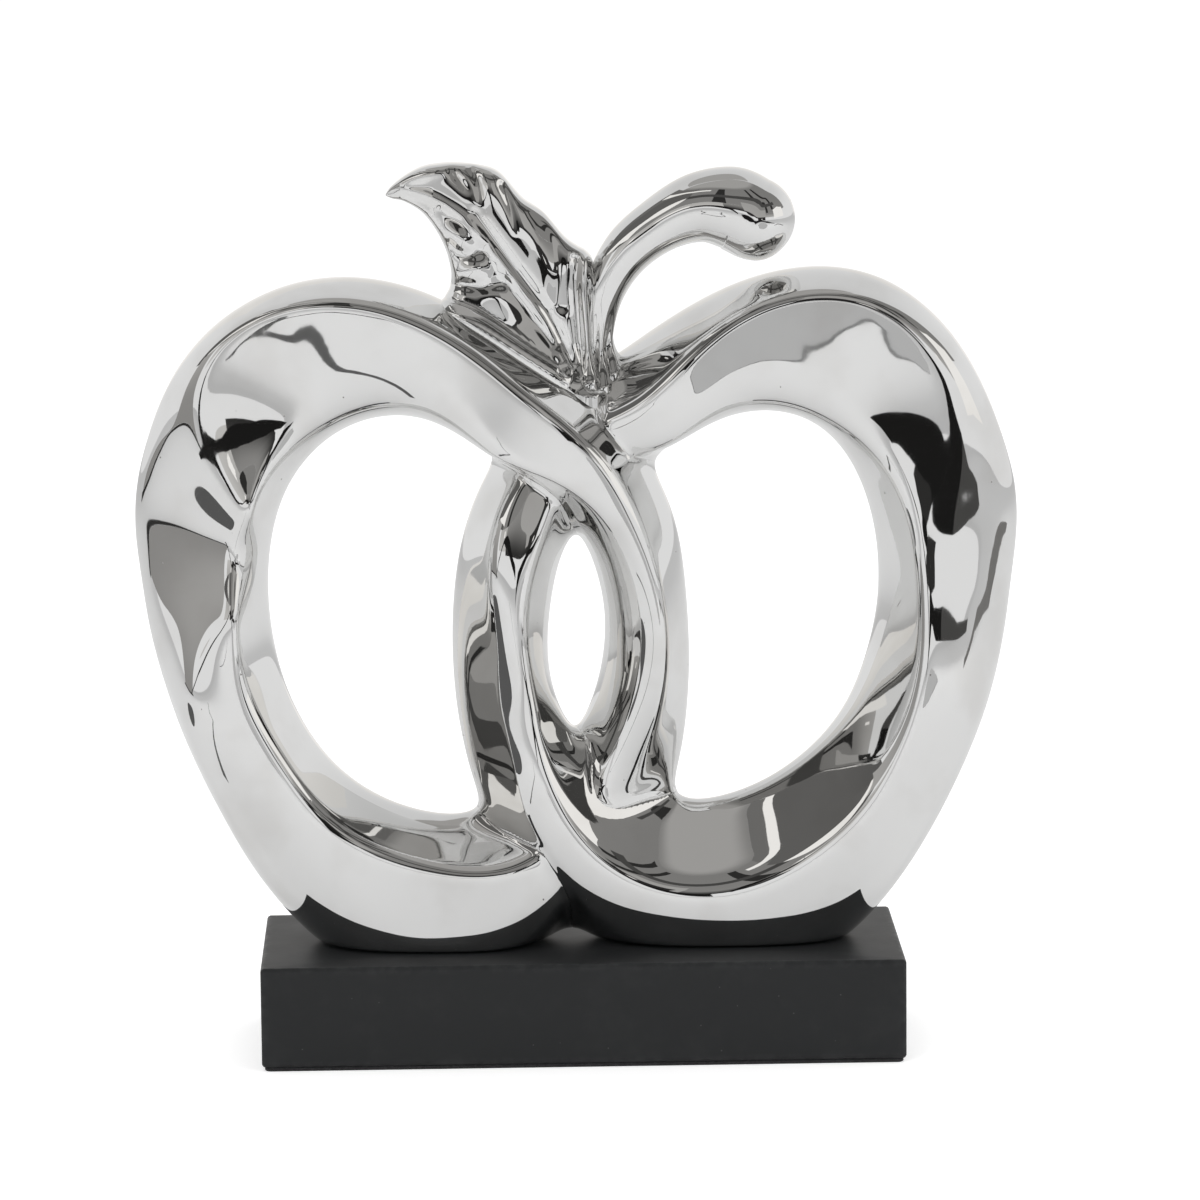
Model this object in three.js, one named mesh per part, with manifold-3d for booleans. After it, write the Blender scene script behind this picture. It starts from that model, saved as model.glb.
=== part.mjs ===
// An apple of two interlaced chrome-faced ceramic rings with a leaf and a stem, bolted on a black block.
// Millimetres, +Z up. The origin is the middle of the underside and the front faces -Y.

import * as THREE from 'three';
import { LoftGeometry } from 'three/addons/geometries/LoftGeometry.js';
import { mergeVertices } from 'three/addons/utils/BufferGeometryUtils.js';
import Module from 'manifold-3d';

// Block and felt pad
const BASE_WIDTH = 232;
const BASE_DEPTH = 90;
const BLOCK_HEIGHT = 36.5;
const BLOCK_EDGE_RADIUS = 1.5;
const PAD_THICKNESS = 1.5;
const PAD_INSET = 1;
const PAD_CORNER_RADIUS = 2;

// Bolts that hold the rings down on the block
const STUD_DIAMETER = 6;
const STUD_GRIP = 22;
const STUD_PROUD_OF_NUT = 2;
const STUD_CHAMFER = 0.8;
const WASHER_DIAMETER = 18;
const WASHER_THICKNESS = 1.6;
const NUT_ACROSS_FLATS = 10;
const NUT_HEIGHT = 5;
const NUT_CHAMFER = 0.6;
const COUNTERBORE_CLEARANCE = 2;
const NUT_COVER = 5;

// Plaster plugs in the hollow feet
const PLUG_LENGTH = 48;
const PLUG_HEIGHT = 28;

// Clearances
const FIT_GAP = 0.3;
const THREAD_GAP = 0.15;

// Rings
const RING_CENTRE_X = 56;
const RING_WALL = 5.5;
const FOOT_CUT = 16;
const RIM_SOFTNESS = 14;
const RIM_CORRECTIONS = 3;

// The hollow of a ring runs from over the shoulder, down the outside, to the foot: degrees from its bar.
const HOLLOW_START = 78;
const HOLLOW_END = 288;
const HOLLOW_CAP = 16;
const HOLLOW_TIP_SCALE = 0.1;

// Guide curves of each ring's front, at 16 even angles: from the bar that crosses the middle, over the top,
// down the outside and back under the foot. Rims and ridges are radii from the ring's centre. The rims lie
// on the ring's middle plane. Depths are how far the ridges stand forward of the object's middle plane, and
// softness is how wide a ridge is rounded. The back of a ring follows the front of its partner, because half
// a turn about the vertical carries the object onto itself.
const LEFT_GUIDES = {
  outerRim: [95.7, 97, 98.5, 101.5, 116.7, 128, 124.3, 109.6, 99.7, 97.5, 104.8, 123.5, 138, 127.5, 117, 103],
  innerRim: [65.5, 64, 64.5, 64, 70.8, 72.3, 67, 59.5, 55.5, 56, 60.5, 67.5, 74, 77.5, 73.5, 68.5],
  outerRidge: [86, 83.5, 86.5, 92, 109, 123, 118.5, 95, 86, 91.5, 99, 117.5, 126, 118, 96, 90],
  innerRidge: [80, 76, 70, 65, 74, 78, 77, 69.5, 67.5, 68.5, 71.5, 81, 89, 95, 86, 82],
  outerDepth: [26, 28, 31, 31, 25.5, 20, 15, 17.5, 23.5, 29.5, 29.5, 26.5, 25.5, 25, 17, 22],
  innerDepth: [26, 28, 31, 30, 23.5, 17.5, 22, 29.5, 29, 28, 26.5, 26, 27, 27.5, 17, 22],
  outerSoftness: [6, 6, 4, 5, 6, 5, 12, 40, 22, 16, 24, 30, 10, 15, 10, 6],
  innerSoftness: [10, 8, 4, 8, 20, 14, 6, 5, 5, 5, 5, 5, 5, 5, 10, 10],
};
const RIGHT_GUIDES = {
  outerRim: [101.2, 101, 100, 101, 116.7, 130.6, 123.3, 109, 100, 99.6, 107, 125, 142, 132, 119.5, 107.5],
  innerRim: [66, 64.5, 63, 63.2, 70.3, 73.5, 65.5, 57, 52.5, 52, 55.5, 61, 69, 75.5, 74, 71],
  outerRidge: [83.5, 90.5, 88, 85, 107.5, 123.5, 117.5, 103, 94, 93.5, 101, 119, 124, 119, 103, 83.5],
  innerRidge: [76.5, 75, 75, 66, 73, 77, 77, 71, 68, 71, 78, 88, 98, 101, 91, 79],
  outerDepth: [24, 20, 14, 24, 24.5, 20.5, 17, 18, 21, 25.5, 28, 26, 24, 26, 29, 27],
  innerDepth: [24, 20, 14, 22, 21.5, 18, 19.5, 23.5, 27.5, 30, 29.5, 28.5, 27, 28.5, 29.5, 27],
  outerSoftness: [8, 7, 5, 6, 6, 5, 14, 28, 25, 20, 28, 24, 14, 12, 6, 8],
  innerSoftness: [5, 5, 5, 8, 20, 14, 6, 5, 5, 5, 5, 6, 8, 8, 6, 5],
};

// Leaf: ribs from the root to the tip, each as lower edge, midrib and upper edge, in x and height from the
// centre of the left ring, on which it stands
const LEAF_RIBS = [
  [[58, 68], [59, 76], [62, 84]],
  [[36, 81], [53, 91], [62.5, 104]],
  [[20, 92], [49, 106], [62.5, 123.5]],
  [[12, 110], [40, 116], [58, 131.5]],
  [[11, 128], [31, 130], [48, 142.5]],
  [[7, 141], [21, 142.5], [34, 153.5]],
  [[0, 147.5], [10, 150.5], [19.5, 162.5]],
  [[-6, 149.5], [-3, 155.5], [1, 162]],
  [[-11.5, 150.5], [-11.5, 151], [-11.5, 152]],
];
const LEAF_THICKNESS = 16;
const LEAF_EDGE_THICKNESS = 3;
const LEAF_SQUARENESS = 4;
const LEAF_GROOVE_DEPTH = 3;
const LEAF_GROOVE_WIDTH = 0.22;
const LEAF_EDGE_THINNING = 0.8;

// Stem: path points from the buried root to the bulb, in x and height from the centre of the right ring, on
// which it stands, each with the radius there
const STEM_PATH = [
  [-49.5, 68, 7.5],
  [-48, 83, 5.5],
  [-47.5, 100, 5.2],
  [-44.5, 117, 7.4],
  [-36.7, 130, 9],
  [-25, 139.3, 10.2],
  [-12, 145, 12.6],
  [0, 145, 14.9],
  [8.4, 141.1, 15],
];

// Facet counts
const RING_SECTIONS = 72;
const RING_EDGE_STEPS = 4;
const HOLLOW_SECTIONS = 26;
const HOLLOW_EDGE_STEPS = 2;
const LEAF_SECTIONS = 20;
const LEAF_STEPS = 8;
const STEM_SECTIONS = 18;
const STEM_STEPS = 16;
const CAP_SECTIONS = 4;
const ROUND_STEPS = 24;
const BEVEL_STEPS = 3;
const CORNER_STEPS = 4;

// How section outlines are found, and how close corners are to count as one
const WALK_REACH = 1.5;
const WALK_HALVINGS = 40;
const SLOPE_STEP = 0.1;
const WELD_DISTANCE = 1e-4;
const FAR = 1000;

const BASE_HEIGHT = PAD_THICKNESS + BLOCK_HEIGHT;
const FOOT_GUIDE = 0.75 * LEFT_GUIDES.outerRim.length;
const RING_CENTRE_HEIGHT = LEFT_GUIDES.outerRim[FOOT_GUIDE] - FOOT_CUT;
const TURN = 2 * Math.PI;

const wasm = await Module();
wasm.setup();

// Solids and their joins and cuts

function solidOf(geometry) {
  const bare = new THREE.BufferGeometry().copy(geometry);
  bare.deleteAttribute('normal');
  bare.deleteAttribute('uv');
  const merged = mergeVertices(bare, WELD_DISTANCE);
  const corners = merged.index.array;
  const kept = [];
  for (let i = 0; i < corners.length; i += 3) {
    const [a, b, c] = corners.slice(i, i + 3);
    if (a !== b && b !== c && c !== a) {
      kept.push(a, b, c);
    }
  }
  return new wasm.Manifold(new wasm.Mesh({
    numProp: 3,
    vertProperties: merged.attributes.position.array,
    triVerts: Uint32Array.from(kept),
  }));
}

function geometryOf(solid) {
  const mesh = solid.getMesh();
  const geometry = new THREE.BufferGeometry();
  geometry.setAttribute('position', new THREE.Float32BufferAttribute(mesh.vertProperties, 3));
  geometry.setIndex(new THREE.BufferAttribute(Uint32Array.from(mesh.triVerts), 1));
  geometry.computeVertexNormals();
  return geometry;
}

function box(low, high) {
  const size = high.map((value, axis) => value - low[axis]);
  const geometry = new THREE.BoxGeometry(...size);
  geometry.translate(...low.map((value, axis) => value + size[axis] / 2));
  return solidOf(geometry);
}

// A round solid about a vertical axis from [radius, height] points that start and end on the axis.
function turned(profile, x = 0) {
  const points = profile.map(([radius, height]) => new THREE.Vector2(radius, height));
  const geometry = new THREE.LatheGeometry(points, ROUND_STEPS);
  geometry.rotateX(Math.PI / 2);
  geometry.translate(x, 0, 0);
  return solidOf(geometry);
}

function rod(radius, low, high, x) {
  return turned([[0, low], [radius, low], [radius, high], [0, high]], x);
}

// Ring surfaces

// Smooth periodic curve through even values: a cubic B-spline whose weights undo its own (1, 4, 1) / 6 blur.
function periodicSpline(values) {
  const count = values.length;
  const pole = Math.sqrt(3) - 2;
  const weights = values.map((_, i) => {
    let sum = 0;
    for (let k = -count; k <= count; k += 1) {
      sum += pole ** Math.abs(k) * values[(i + k + count) % count];
    }
    return Math.sqrt(3) * sum;
  });
  return (angle) => {
    const place = (((angle / TURN) % 1) + 1) % 1 * count;
    const first = Math.floor(place);
    const t = place - first;
    const blend = [
      (1 - t) ** 3,
      3 * t ** 3 - 6 * t ** 2 + 4,
      -3 * t ** 3 + 3 * t ** 2 + 3 * t + 1,
      t ** 3,
    ];
    return blend.reduce((sum, weight, j) => sum + weight * weights[(first + j - 1 + count) % count], 0) / 6;
  };
}

function splinesOf(guides) {
  const entries = Object.entries(guides).map(([name, values]) => [name, periodicSpline(values)]);
  return Object.fromEntries(entries);
}

function valuesAt(splines, angle) {
  const entries = Object.entries(splines).map(([name, spline]) => [name, spline(angle)]);
  return Object.fromEntries(entries);
}

// The larger of two values, with the change from one to the other rounded over the given width.
function smoothMax(a, b, width) {
  const near = Math.max(width - Math.abs(a - b), 0) / width;
  return Math.max(a, b) + near ** 3 * width / 6;
}

// How far a point of a section's plane lies outside the section: six flat sides with rounded corners.
function sectionField({ corners, front, back }, r, y) {
  const side = corners.map(([r1, y1], i) => {
    const [r2, y2] = corners[(i + 1) % corners.length];
    return ((y2 - y1) * (r - r1) - (r2 - r1) * (y - y1)) / Math.hypot(r2 - r1, y2 - y1);
  });
  const frontHalf = smoothMax(smoothMax(side[0], side[1], front.innerSoftness), side[2], front.outerSoftness);
  const backHalf = smoothMax(smoothMax(side[5], side[4], back.innerSoftness), side[3], back.outerSoftness);
  return smoothMax(frontHalf, backHalf, RIM_SOFTNESS);
}

// The section of a ring at an angle. Its rims are moved out by what the rounding takes off them.
function sectionAt(ring, angle) {
  const front = valuesAt(ring.front, angle);
  const back = valuesAt(ring.back, angle);
  const middle = (back.innerDepth + back.outerDepth - front.innerDepth - front.outerDepth) / 4;
  const section = { front, back, middle };
  const setCorners = (innerRim, outerRim) => {
    section.corners = [
      [innerRim, middle],
      [front.innerRidge, -front.innerDepth],
      [front.outerRidge, -front.outerDepth],
      [outerRim, middle],
      [back.outerRidge, back.outerDepth],
      [back.innerRidge, back.innerDepth],
    ];
  };
  const shortfall = (r, way) => {
    const value = sectionField(section, r, middle);
    const slope = (sectionField(section, r + way * SLOPE_STEP, middle) - value) / SLOPE_STEP;
    return way * value / slope;
  };
  let innerRim = front.innerRim;
  let outerRim = front.outerRim;
  setCorners(innerRim, outerRim);
  for (let i = 0; i < RIM_CORRECTIONS; i += 1) {
    innerRim += shortfall(front.innerRim, -1);
    outerRim += shortfall(front.outerRim, 1);
    setCorners(innerRim, outerRim);
  }
  section.centre = [(front.innerRim + front.outerRim) / 2, middle];
  return section;
}

// Points of a section's outline, found by walking out from its centre towards its cornered frame until the
// field reaches the offset. A ring that stands on its foot is also stopped at the foot's plane.
function outlineAt(ring, angle, { offset = 0, steps = RING_EDGE_STEPS, foot = -Infinity, scale = 1 }) {
  const section = sectionAt(ring, angle);
  const [centreR, centreY] = section.centre;
  const points = [];
  section.corners.forEach(([r1, y1], i) => {
    const [r2, y2] = section.corners[(i + 1) % section.corners.length];
    for (let j = 0; j < steps; j += 1) {
      const t = j / steps;
      const dr = r1 + (r2 - r1) * t - centreR;
      const dy = y1 + (y2 - y1) * t - centreY;
      let low = 0;
      let high = WALK_REACH;
      for (let k = 0; k < WALK_HALVINGS; k += 1) {
        const s = (low + high) / 2;
        const height = RING_CENTRE_HEIGHT + (centreR + s * dr) * Math.sin(angle);
        const inside = sectionField(section, centreR + s * dr, centreY + s * dy) < offset && height > foot;
        if (inside) {
          low = s;
        } else {
          high = s;
        }
      }
      const r = centreR + scale * low * dr;
      const x = ring.side * (RING_CENTRE_X - r * Math.cos(angle));
      points.push(new THREE.Vector3(x, centreY + scale * low * dy, RING_CENTRE_HEIGHT + r * Math.sin(angle)));
    }
  });
  return ring.side < 0 ? points : points.reverse();
}

function ringSolid(ring, options) {
  const sections = [];
  for (let i = 0; i <= RING_SECTIONS; i += 1) {
    sections.push(outlineAt(ring, (i % RING_SECTIONS) / RING_SECTIONS * TURN, options));
  }
  return solidOf(new LoftGeometry(sections));
}

// The hollow inside a ring, a C-shaped tube with round ends, which comes out through the foot.
function hollowSolid(ring, offset) {
  const sections = [];
  for (let i = 0; i <= HOLLOW_SECTIONS; i += 1) {
    const degrees = HOLLOW_START + (HOLLOW_END - HOLLOW_START) * i / HOLLOW_SECTIONS;
    const toEnd = Math.min(degrees - HOLLOW_START, HOLLOW_END - degrees);
    const into = Math.min(toEnd / HOLLOW_CAP, 1);
    const scale = Math.max(Math.sqrt(1 - (1 - into) ** 2), HOLLOW_TIP_SCALE);
    sections.push(outlineAt(ring, degrees / 360 * TURN, { offset, steps: HOLLOW_EDGE_STEPS, scale }));
  }
  return solidOf(new LoftGeometry(sections, { capStart: true, capEnd: true }));
}

// Leaf

// A curve in the middle plane through points that are given from a ring's centre.
function curveFrom(centreX, points) {
  const places = points.map(([x, z]) => new THREE.Vector3(centreX + x, 0, RING_CENTRE_HEIGHT + z));
  return new THREE.CatmullRomCurve3(places);
}

function leafSolid() {
  const edges = [0, 1, 2].map((place) => curveFrom(-RING_CENTRE_X, LEAF_RIBS.map((rib) => rib[place])));
  const sections = [];
  for (let i = 0; i <= LEAF_SECTIONS; i += 1) {
    const u = i / LEAF_SECTIONS;
    const [lower, midrib, upper] = edges.map((edge) => edge.getPoint(u));
    const taper = Math.sqrt(1 - u ** 3);
    const half = (LEAF_EDGE_THICKNESS + (LEAF_THICKNESS - LEAF_EDGE_THICKNESS) * taper) / 2;
    const across = (w) => {
      const edge = w < 0 ? lower : upper;
      return midrib.clone().lerp(edge, Math.abs(w));
    };
    const thickness = (w) => {
      const crown = (1 - Math.abs(w) ** LEAF_SQUARENESS) ** (1 / LEAF_SQUARENESS) * half * taper;
      const groove = LEAF_GROOVE_DEPTH * taper * Math.exp(-((w / LEAF_GROOVE_WIDTH) ** 2));
      return Math.max(crown - groove, 0) + LEAF_EDGE_THICKNESS / 2 * (1 - LEAF_EDGE_THINNING * u);
    };
    const points = [];
    for (const face of [-1, 1]) {
      for (let j = 0; j <= LEAF_STEPS; j += 1) {
        const w = face * Math.cos(j / LEAF_STEPS * Math.PI);
        const point = across(w);
        point.y = face * thickness(w);
        points.push(point);
      }
    }
    sections.push(points);
  }
  return solidOf(new LoftGeometry(sections, { capStart: true, capEnd: true }));
}

// Stem

function stemSolid(grow = 0) {
  const path = curveFrom(RING_CENTRE_X, STEM_PATH);
  const radii = new THREE.SplineCurve(STEM_PATH.map(([, , radius], i) => new THREE.Vector2(i, radius)));
  const sections = [];
  const addSection = (centre, tangent, radius) => {
    const normal = new THREE.Vector3(-tangent.z, 0, tangent.x);
    const points = [];
    for (let j = 0; j < STEM_STEPS; j += 1) {
      const angle = j / STEM_STEPS * TURN;
      const point = centre.clone().addScaledVector(normal, radius * Math.cos(angle));
      point.y -= radius * Math.sin(angle);
      points.push(point);
    }
    sections.push(points);
  };
  for (let i = 0; i <= STEM_SECTIONS; i += 1) {
    const u = i / STEM_SECTIONS;
    addSection(path.getPoint(u), path.getTangent(u), radii.getPoint(u).y + grow);
  }
  const end = path.getPoint(1);
  const tangent = path.getTangent(1);
  const endRadius = STEM_PATH.at(-1)[2] + grow;
  for (let i = 1; i < CAP_SECTIONS; i += 1) {
    const angle = i / CAP_SECTIONS * Math.PI / 2;
    const centre = end.clone().addScaledVector(tangent, endRadius * Math.sin(angle));
    addSection(centre, tangent, endRadius * Math.cos(angle));
  }
  return solidOf(new LoftGeometry(sections, { capStart: true, capEnd: true }));
}

// Fastening, at one ring's foot

const studBottom = -BLOCK_HEIGHT + NUT_COVER;
const nutBottom = studBottom + STUD_PROUD_OF_NUT;
const washerBottom = nutBottom + NUT_HEIGHT;
const washerTop = washerBottom + WASHER_THICKNESS;
const studRadius = STUD_DIAMETER / 2;
const boreRadius = studRadius + FIT_GAP;
const washerRadius = WASHER_DIAMETER / 2;

function studSolid(x) {
  const tip = studRadius - STUD_CHAMFER;
  return turned([
    [0, studBottom],
    [tip, studBottom],
    [studRadius, studBottom + STUD_CHAMFER],
    [studRadius, STUD_GRIP - STUD_CHAMFER],
    [tip, STUD_GRIP],
    [0, STUD_GRIP],
  ], x);
}

function washerSolid(x) {
  const bore = rod(boreRadius, washerBottom - 1, washerTop + 1, x);
  return rod(washerRadius, washerBottom, washerTop, x).subtract(bore);
}

function nutSolid(x) {
  const cornerRadius = NUT_ACROSS_FLATS / Math.sqrt(3);
  const hexagon = new THREE.CylinderGeometry(cornerRadius, cornerRadius, NUT_HEIGHT, 6);
  hexagon.rotateX(Math.PI / 2);
  hexagon.translate(x, 0, nutBottom + NUT_HEIGHT / 2);
  const rounding = turned([
    [0, nutBottom],
    [cornerRadius - NUT_CHAMFER, nutBottom],
    [cornerRadius + NUT_CHAMFER, nutBottom + 2 * NUT_CHAMFER],
    [cornerRadius + NUT_CHAMFER, washerBottom],
    [0, washerBottom],
  ], x);
  const bore = rod(studRadius + THREAD_GAP, nutBottom - 1, washerBottom + 1, x);
  return solidOf(hexagon).intersect(rounding).subtract(bore);
}

function plugSolid(ring, x) {
  const poured = box(
    [x - PLUG_LENGTH / 2, -BASE_DEPTH, FIT_GAP],
    [x + PLUG_LENGTH / 2, BASE_DEPTH, PLUG_HEIGHT],
  );
  const socket = rod(boreRadius, -1, STUD_GRIP + FIT_GAP, x);
  return hollowSolid(ring, -RING_WALL - FIT_GAP).intersect(poured).subtract(socket);
}

// Block and pad

function roundedRectangle(width, depth, radius) {
  const shape = new THREE.Shape();
  const x = width / 2;
  const y = depth / 2;
  shape.moveTo(-x + radius, -y);
  shape.lineTo(x - radius, -y);
  shape.absarc(x - radius, -y + radius, radius, -Math.PI / 2, 0);
  shape.lineTo(x, y - radius);
  shape.absarc(x - radius, y - radius, radius, 0, Math.PI / 2);
  shape.lineTo(-x + radius, y);
  shape.absarc(-x + radius, y - radius, radius, Math.PI / 2, Math.PI);
  shape.lineTo(-x, -y + radius);
  shape.absarc(-x + radius, -y + radius, radius, Math.PI, 1.5 * Math.PI);
  return shape;
}

function blockSolid(studPlaces) {
  const inner = BLOCK_EDGE_RADIUS / 2;
  const outline = roundedRectangle(
    BASE_WIDTH - 2 * BLOCK_EDGE_RADIUS,
    BASE_DEPTH - 2 * BLOCK_EDGE_RADIUS,
    inner,
  );
  const geometry = new THREE.ExtrudeGeometry(outline, {
    depth: BLOCK_HEIGHT - 2 * BLOCK_EDGE_RADIUS,
    bevelSize: BLOCK_EDGE_RADIUS,
    bevelThickness: BLOCK_EDGE_RADIUS,
    bevelSegments: BEVEL_STEPS,
    curveSegments: CORNER_STEPS,
  });
  geometry.translate(0, 0, -BLOCK_HEIGHT + BLOCK_EDGE_RADIUS);
  const counterboreRadius = washerRadius + COUNTERBORE_CLEARANCE;
  return studPlaces.reduce((block, x) => {
    const counterbore = rod(counterboreRadius, -BLOCK_HEIGHT - 1, washerTop, x);
    return block.subtract(counterbore).subtract(rod(boreRadius, -BLOCK_HEIGHT, 1, x));
  }, solidOf(geometry));
}

function padSolid() {
  const outline = roundedRectangle(BASE_WIDTH - 2 * PAD_INSET, BASE_DEPTH - 2 * PAD_INSET, PAD_CORNER_RADIUS);
  const geometry = new THREE.ExtrudeGeometry(outline, {
    depth: PAD_THICKNESS,
    bevelEnabled: false,
    curveSegments: CORNER_STEPS,
  });
  geometry.translate(0, 0, -BASE_HEIGHT);
  return solidOf(geometry);
}

// Finishes

const FINISHES = {
  chrome: { color: 0xd8d8d6, roughness: 0.06, metalness: 1 },
  black: { color: 0x141516, roughness: 0.5, metalness: 0 },
  felt: { color: 0x1b1b1d, roughness: 1, metalness: 0 },
  plaster: { color: 0xe3ded2, roughness: 0.9, metalness: 0 },
  zinc: { color: 0xa9adb0, roughness: 0.35, metalness: 1 },
};

function named(name, solid, finish) {
  const mesh = new THREE.Mesh(geometryOf(solid), new THREE.MeshStandardMaterial(FINISHES[finish]));
  mesh.name = name;
  return mesh;
}

// The assembly. Heights inside the group are taken from the top of the block.

const leftSplines = splinesOf(LEFT_GUIDES);
const rightSplines = splinesOf(RIGHT_GUIDES);
const left = { name: 'left', side: -1, front: leftSplines, back: rightSplines };
const right = { name: 'right', side: 1, front: rightSplines, back: leftSplines };

const overMiddle = box([-FAR, -FAR, RING_CENTRE_HEIGHT], [FAR, FAR, FAR]);
const underMiddle = box([-FAR, -FAR, -FAR], [FAR, FAR, RING_CENTRE_HEIGHT]);
const leftRoom = ringSolid(left, { offset: FIT_GAP });
const rightRoom = ringSolid(right, { offset: FIT_GAP });

// The left ring runs through the right one at the top, and the right one through the left one at the bottom.
const leftBody = ringSolid(left, { foot: FIT_GAP })
  .subtract(rightRoom.intersect(underMiddle))
  .subtract(hollowSolid(left, -RING_WALL));
const rightBody = ringSolid(right, { foot: FIT_GAP })
  .subtract(leftRoom.intersect(overMiddle))
  .subtract(hollowSolid(right, -RING_WALL));

const apple = new THREE.Group();
apple.position.z = BASE_HEIGHT;
apple.add(named('left_ring', leftBody, 'chrome'));
apple.add(named('right_ring', rightBody, 'chrome'));
const ringRoom = leftRoom.add(rightRoom);
apple.add(named('leaf', leafSolid().subtract(ringRoom).subtract(stemSolid(FIT_GAP)), 'chrome'));
apple.add(named('stem', stemSolid().subtract(ringRoom), 'chrome'));

for (const ring of [left, right]) {
  const x = ring.side * RING_CENTRE_X;
  apple.add(named(`anchor_plug_${ring.name}`, plugSolid(ring, x), 'plaster'));
  apple.add(named(`stud_${ring.name}`, studSolid(x), 'zinc'));
  apple.add(named(`washer_${ring.name}`, washerSolid(x), 'zinc'));
  apple.add(named(`nut_${ring.name}`, nutSolid(x), 'zinc'));
}

apple.add(named('base_block', blockSolid([-RING_CENTRE_X, RING_CENTRE_X]), 'black'));
apple.add(named('felt_pad', padSolid(), 'felt'));

const sculpture = new THREE.Group();
sculpture.add(apple);

export default sculpture;
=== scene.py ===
"""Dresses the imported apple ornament: two fused chrome rings, a leaf and a stem on a black lacquered block.

Shapes are worked out in millimetres and written to meshes in metres. +Z is up and the front faces -Y.
"""

import logging
from collections.abc import Callable
from dataclasses import dataclass, field, fields
from enum import Enum
from functools import cached_property
from typing import ClassVar

import bmesh
import bpy
import numpy as np
from mathutils import Matrix


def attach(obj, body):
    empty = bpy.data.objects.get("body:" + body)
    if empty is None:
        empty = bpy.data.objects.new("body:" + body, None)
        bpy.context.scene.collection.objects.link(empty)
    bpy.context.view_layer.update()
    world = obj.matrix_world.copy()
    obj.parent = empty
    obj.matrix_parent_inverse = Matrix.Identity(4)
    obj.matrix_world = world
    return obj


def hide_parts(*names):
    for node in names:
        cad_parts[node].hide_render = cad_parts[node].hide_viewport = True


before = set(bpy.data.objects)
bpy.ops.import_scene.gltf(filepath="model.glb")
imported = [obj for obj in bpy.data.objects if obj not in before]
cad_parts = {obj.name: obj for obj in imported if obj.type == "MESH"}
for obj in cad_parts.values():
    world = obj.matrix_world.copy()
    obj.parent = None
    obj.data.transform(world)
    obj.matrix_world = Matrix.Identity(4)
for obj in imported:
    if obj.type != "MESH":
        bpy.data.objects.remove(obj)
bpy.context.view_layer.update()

log = logging.getLogger("apple")

Array = np.ndarray
Guide = tuple[float, ...]
Points = tuple[tuple[float, ...], ...]
Range = tuple[float, float]
Place = tuple[float, float, float]
Colour = tuple[float, float, float, float]
Field = Callable[[Array], Array]

MM = 0.001
TURN = 2 * np.pi
BLOCK_TOP = 38.0
MERGE_DISTANCE = 1e-7
TINY = 1e-12
PATH_FINENESS = 40
BODY = "root"


class Slot(Enum):
    """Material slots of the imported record."""

    CHROME = "chrome_glaze"
    LACQUER = "black_lacquer"
    FELT = "black_felt"
    PLASTER = "plaster"
    STEEL = "zinc_steel"


# Curves and fields


def smooth_max(a: Array, b: Array, width: Array | float) -> Array:
    """The larger of two values, with the change from one to the other rounded over a width.

    Args:
        a: First values.
        b: Second values.
        width: How far apart the values are where the rounding ends.

    Returns:
        max(a, b) plus width / 6 times the cube of the share of the width that is left between them.
    """
    near = np.maximum(width - np.abs(a - b), 0) / width
    return np.maximum(a, b) + near**3 * width / 6


def smooth_min(a: Array, b: Array, width: Array | float) -> Array:
    """The smaller of two values, rounded over a width as in smooth_max."""
    return -smooth_max(-a, -b, width)


def ease(x: Array) -> Array:
    """Smooth step from 0 to 1 while x goes from 0 to 1: 3x^2 - 2x^3."""
    x = np.clip(x, 0, 1)
    return x * x * (3 - 2 * x)


@dataclass(frozen=True)
class PeriodicCurve:
    """A smooth closed curve of values at even angles: a cubic B-spline that passes through them."""

    values: Guide

    @cached_property
    def weights(self) -> Array:
        """Spline weights that undo the (1, 4, 1) / 6 blur of a cubic B-spline."""
        values = np.asarray(self.values, float)
        count = len(values)
        shift = np.arange(-count, count + 1)
        share = (np.sqrt(3) - 2) ** np.abs(shift)
        around = (shift[:, None] + np.arange(count)) % count
        return np.sqrt(3) * np.sum(share[:, None] * values[around], axis=0)

    def at(self, angle: Array) -> Array:
        """Values of the curve.

        Args:
            angle: Angles in radians.

        Returns:
            The spline there: four neighbouring weights, blended by the cubic B-spline basis.
        """
        count = len(self.values)
        place = angle / TURN * count % count
        first = np.floor(place).astype(int)
        t = place - first
        basis = ((1 - t) ** 3, 3 * t**3 - 6 * t**2 + 4, -3 * t**3 + 3 * t**2 + 3 * t + 1, t**3)
        return sum(b * self.weights[(first + j - 1) % count] for j, b in enumerate(basis)) / 6


def path_through(points: Points, count: int) -> Array:
    """Even points along a smooth curve through given points.

    Args:
        points: Points of any dimension.
        count: How many points the result has.

    Returns:
        A Catmull-Rom curve, a cubic between neighbours whose end slopes are half the step from the point
        before to the point after, sampled evenly by its own length.
    """
    p = np.asarray(points, float)
    wide = np.vstack([2 * p[0] - p[1], p, 2 * p[-1] - p[-2]])
    place = np.linspace(0, len(p) - 1, PATH_FINENESS * len(p))
    i = np.minimum(place.astype(int), len(p) - 2)
    t = (place - i)[:, None]
    a, b, c, d = (wide[i + j] for j in range(4))
    fine = (2 * b + (c - a) * t + (2 * a - 5 * b + 4 * c - d) * t**2 + (3 * b - a - 3 * c + d) * t**3) / 2
    run = np.r_[0, np.cumsum(np.linalg.norm(np.diff(fine, axis=0), axis=1))]
    even = np.linspace(0, run[-1], count)
    return np.stack([np.interp(even, run, column) for column in fine.T], axis=-1)


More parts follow.
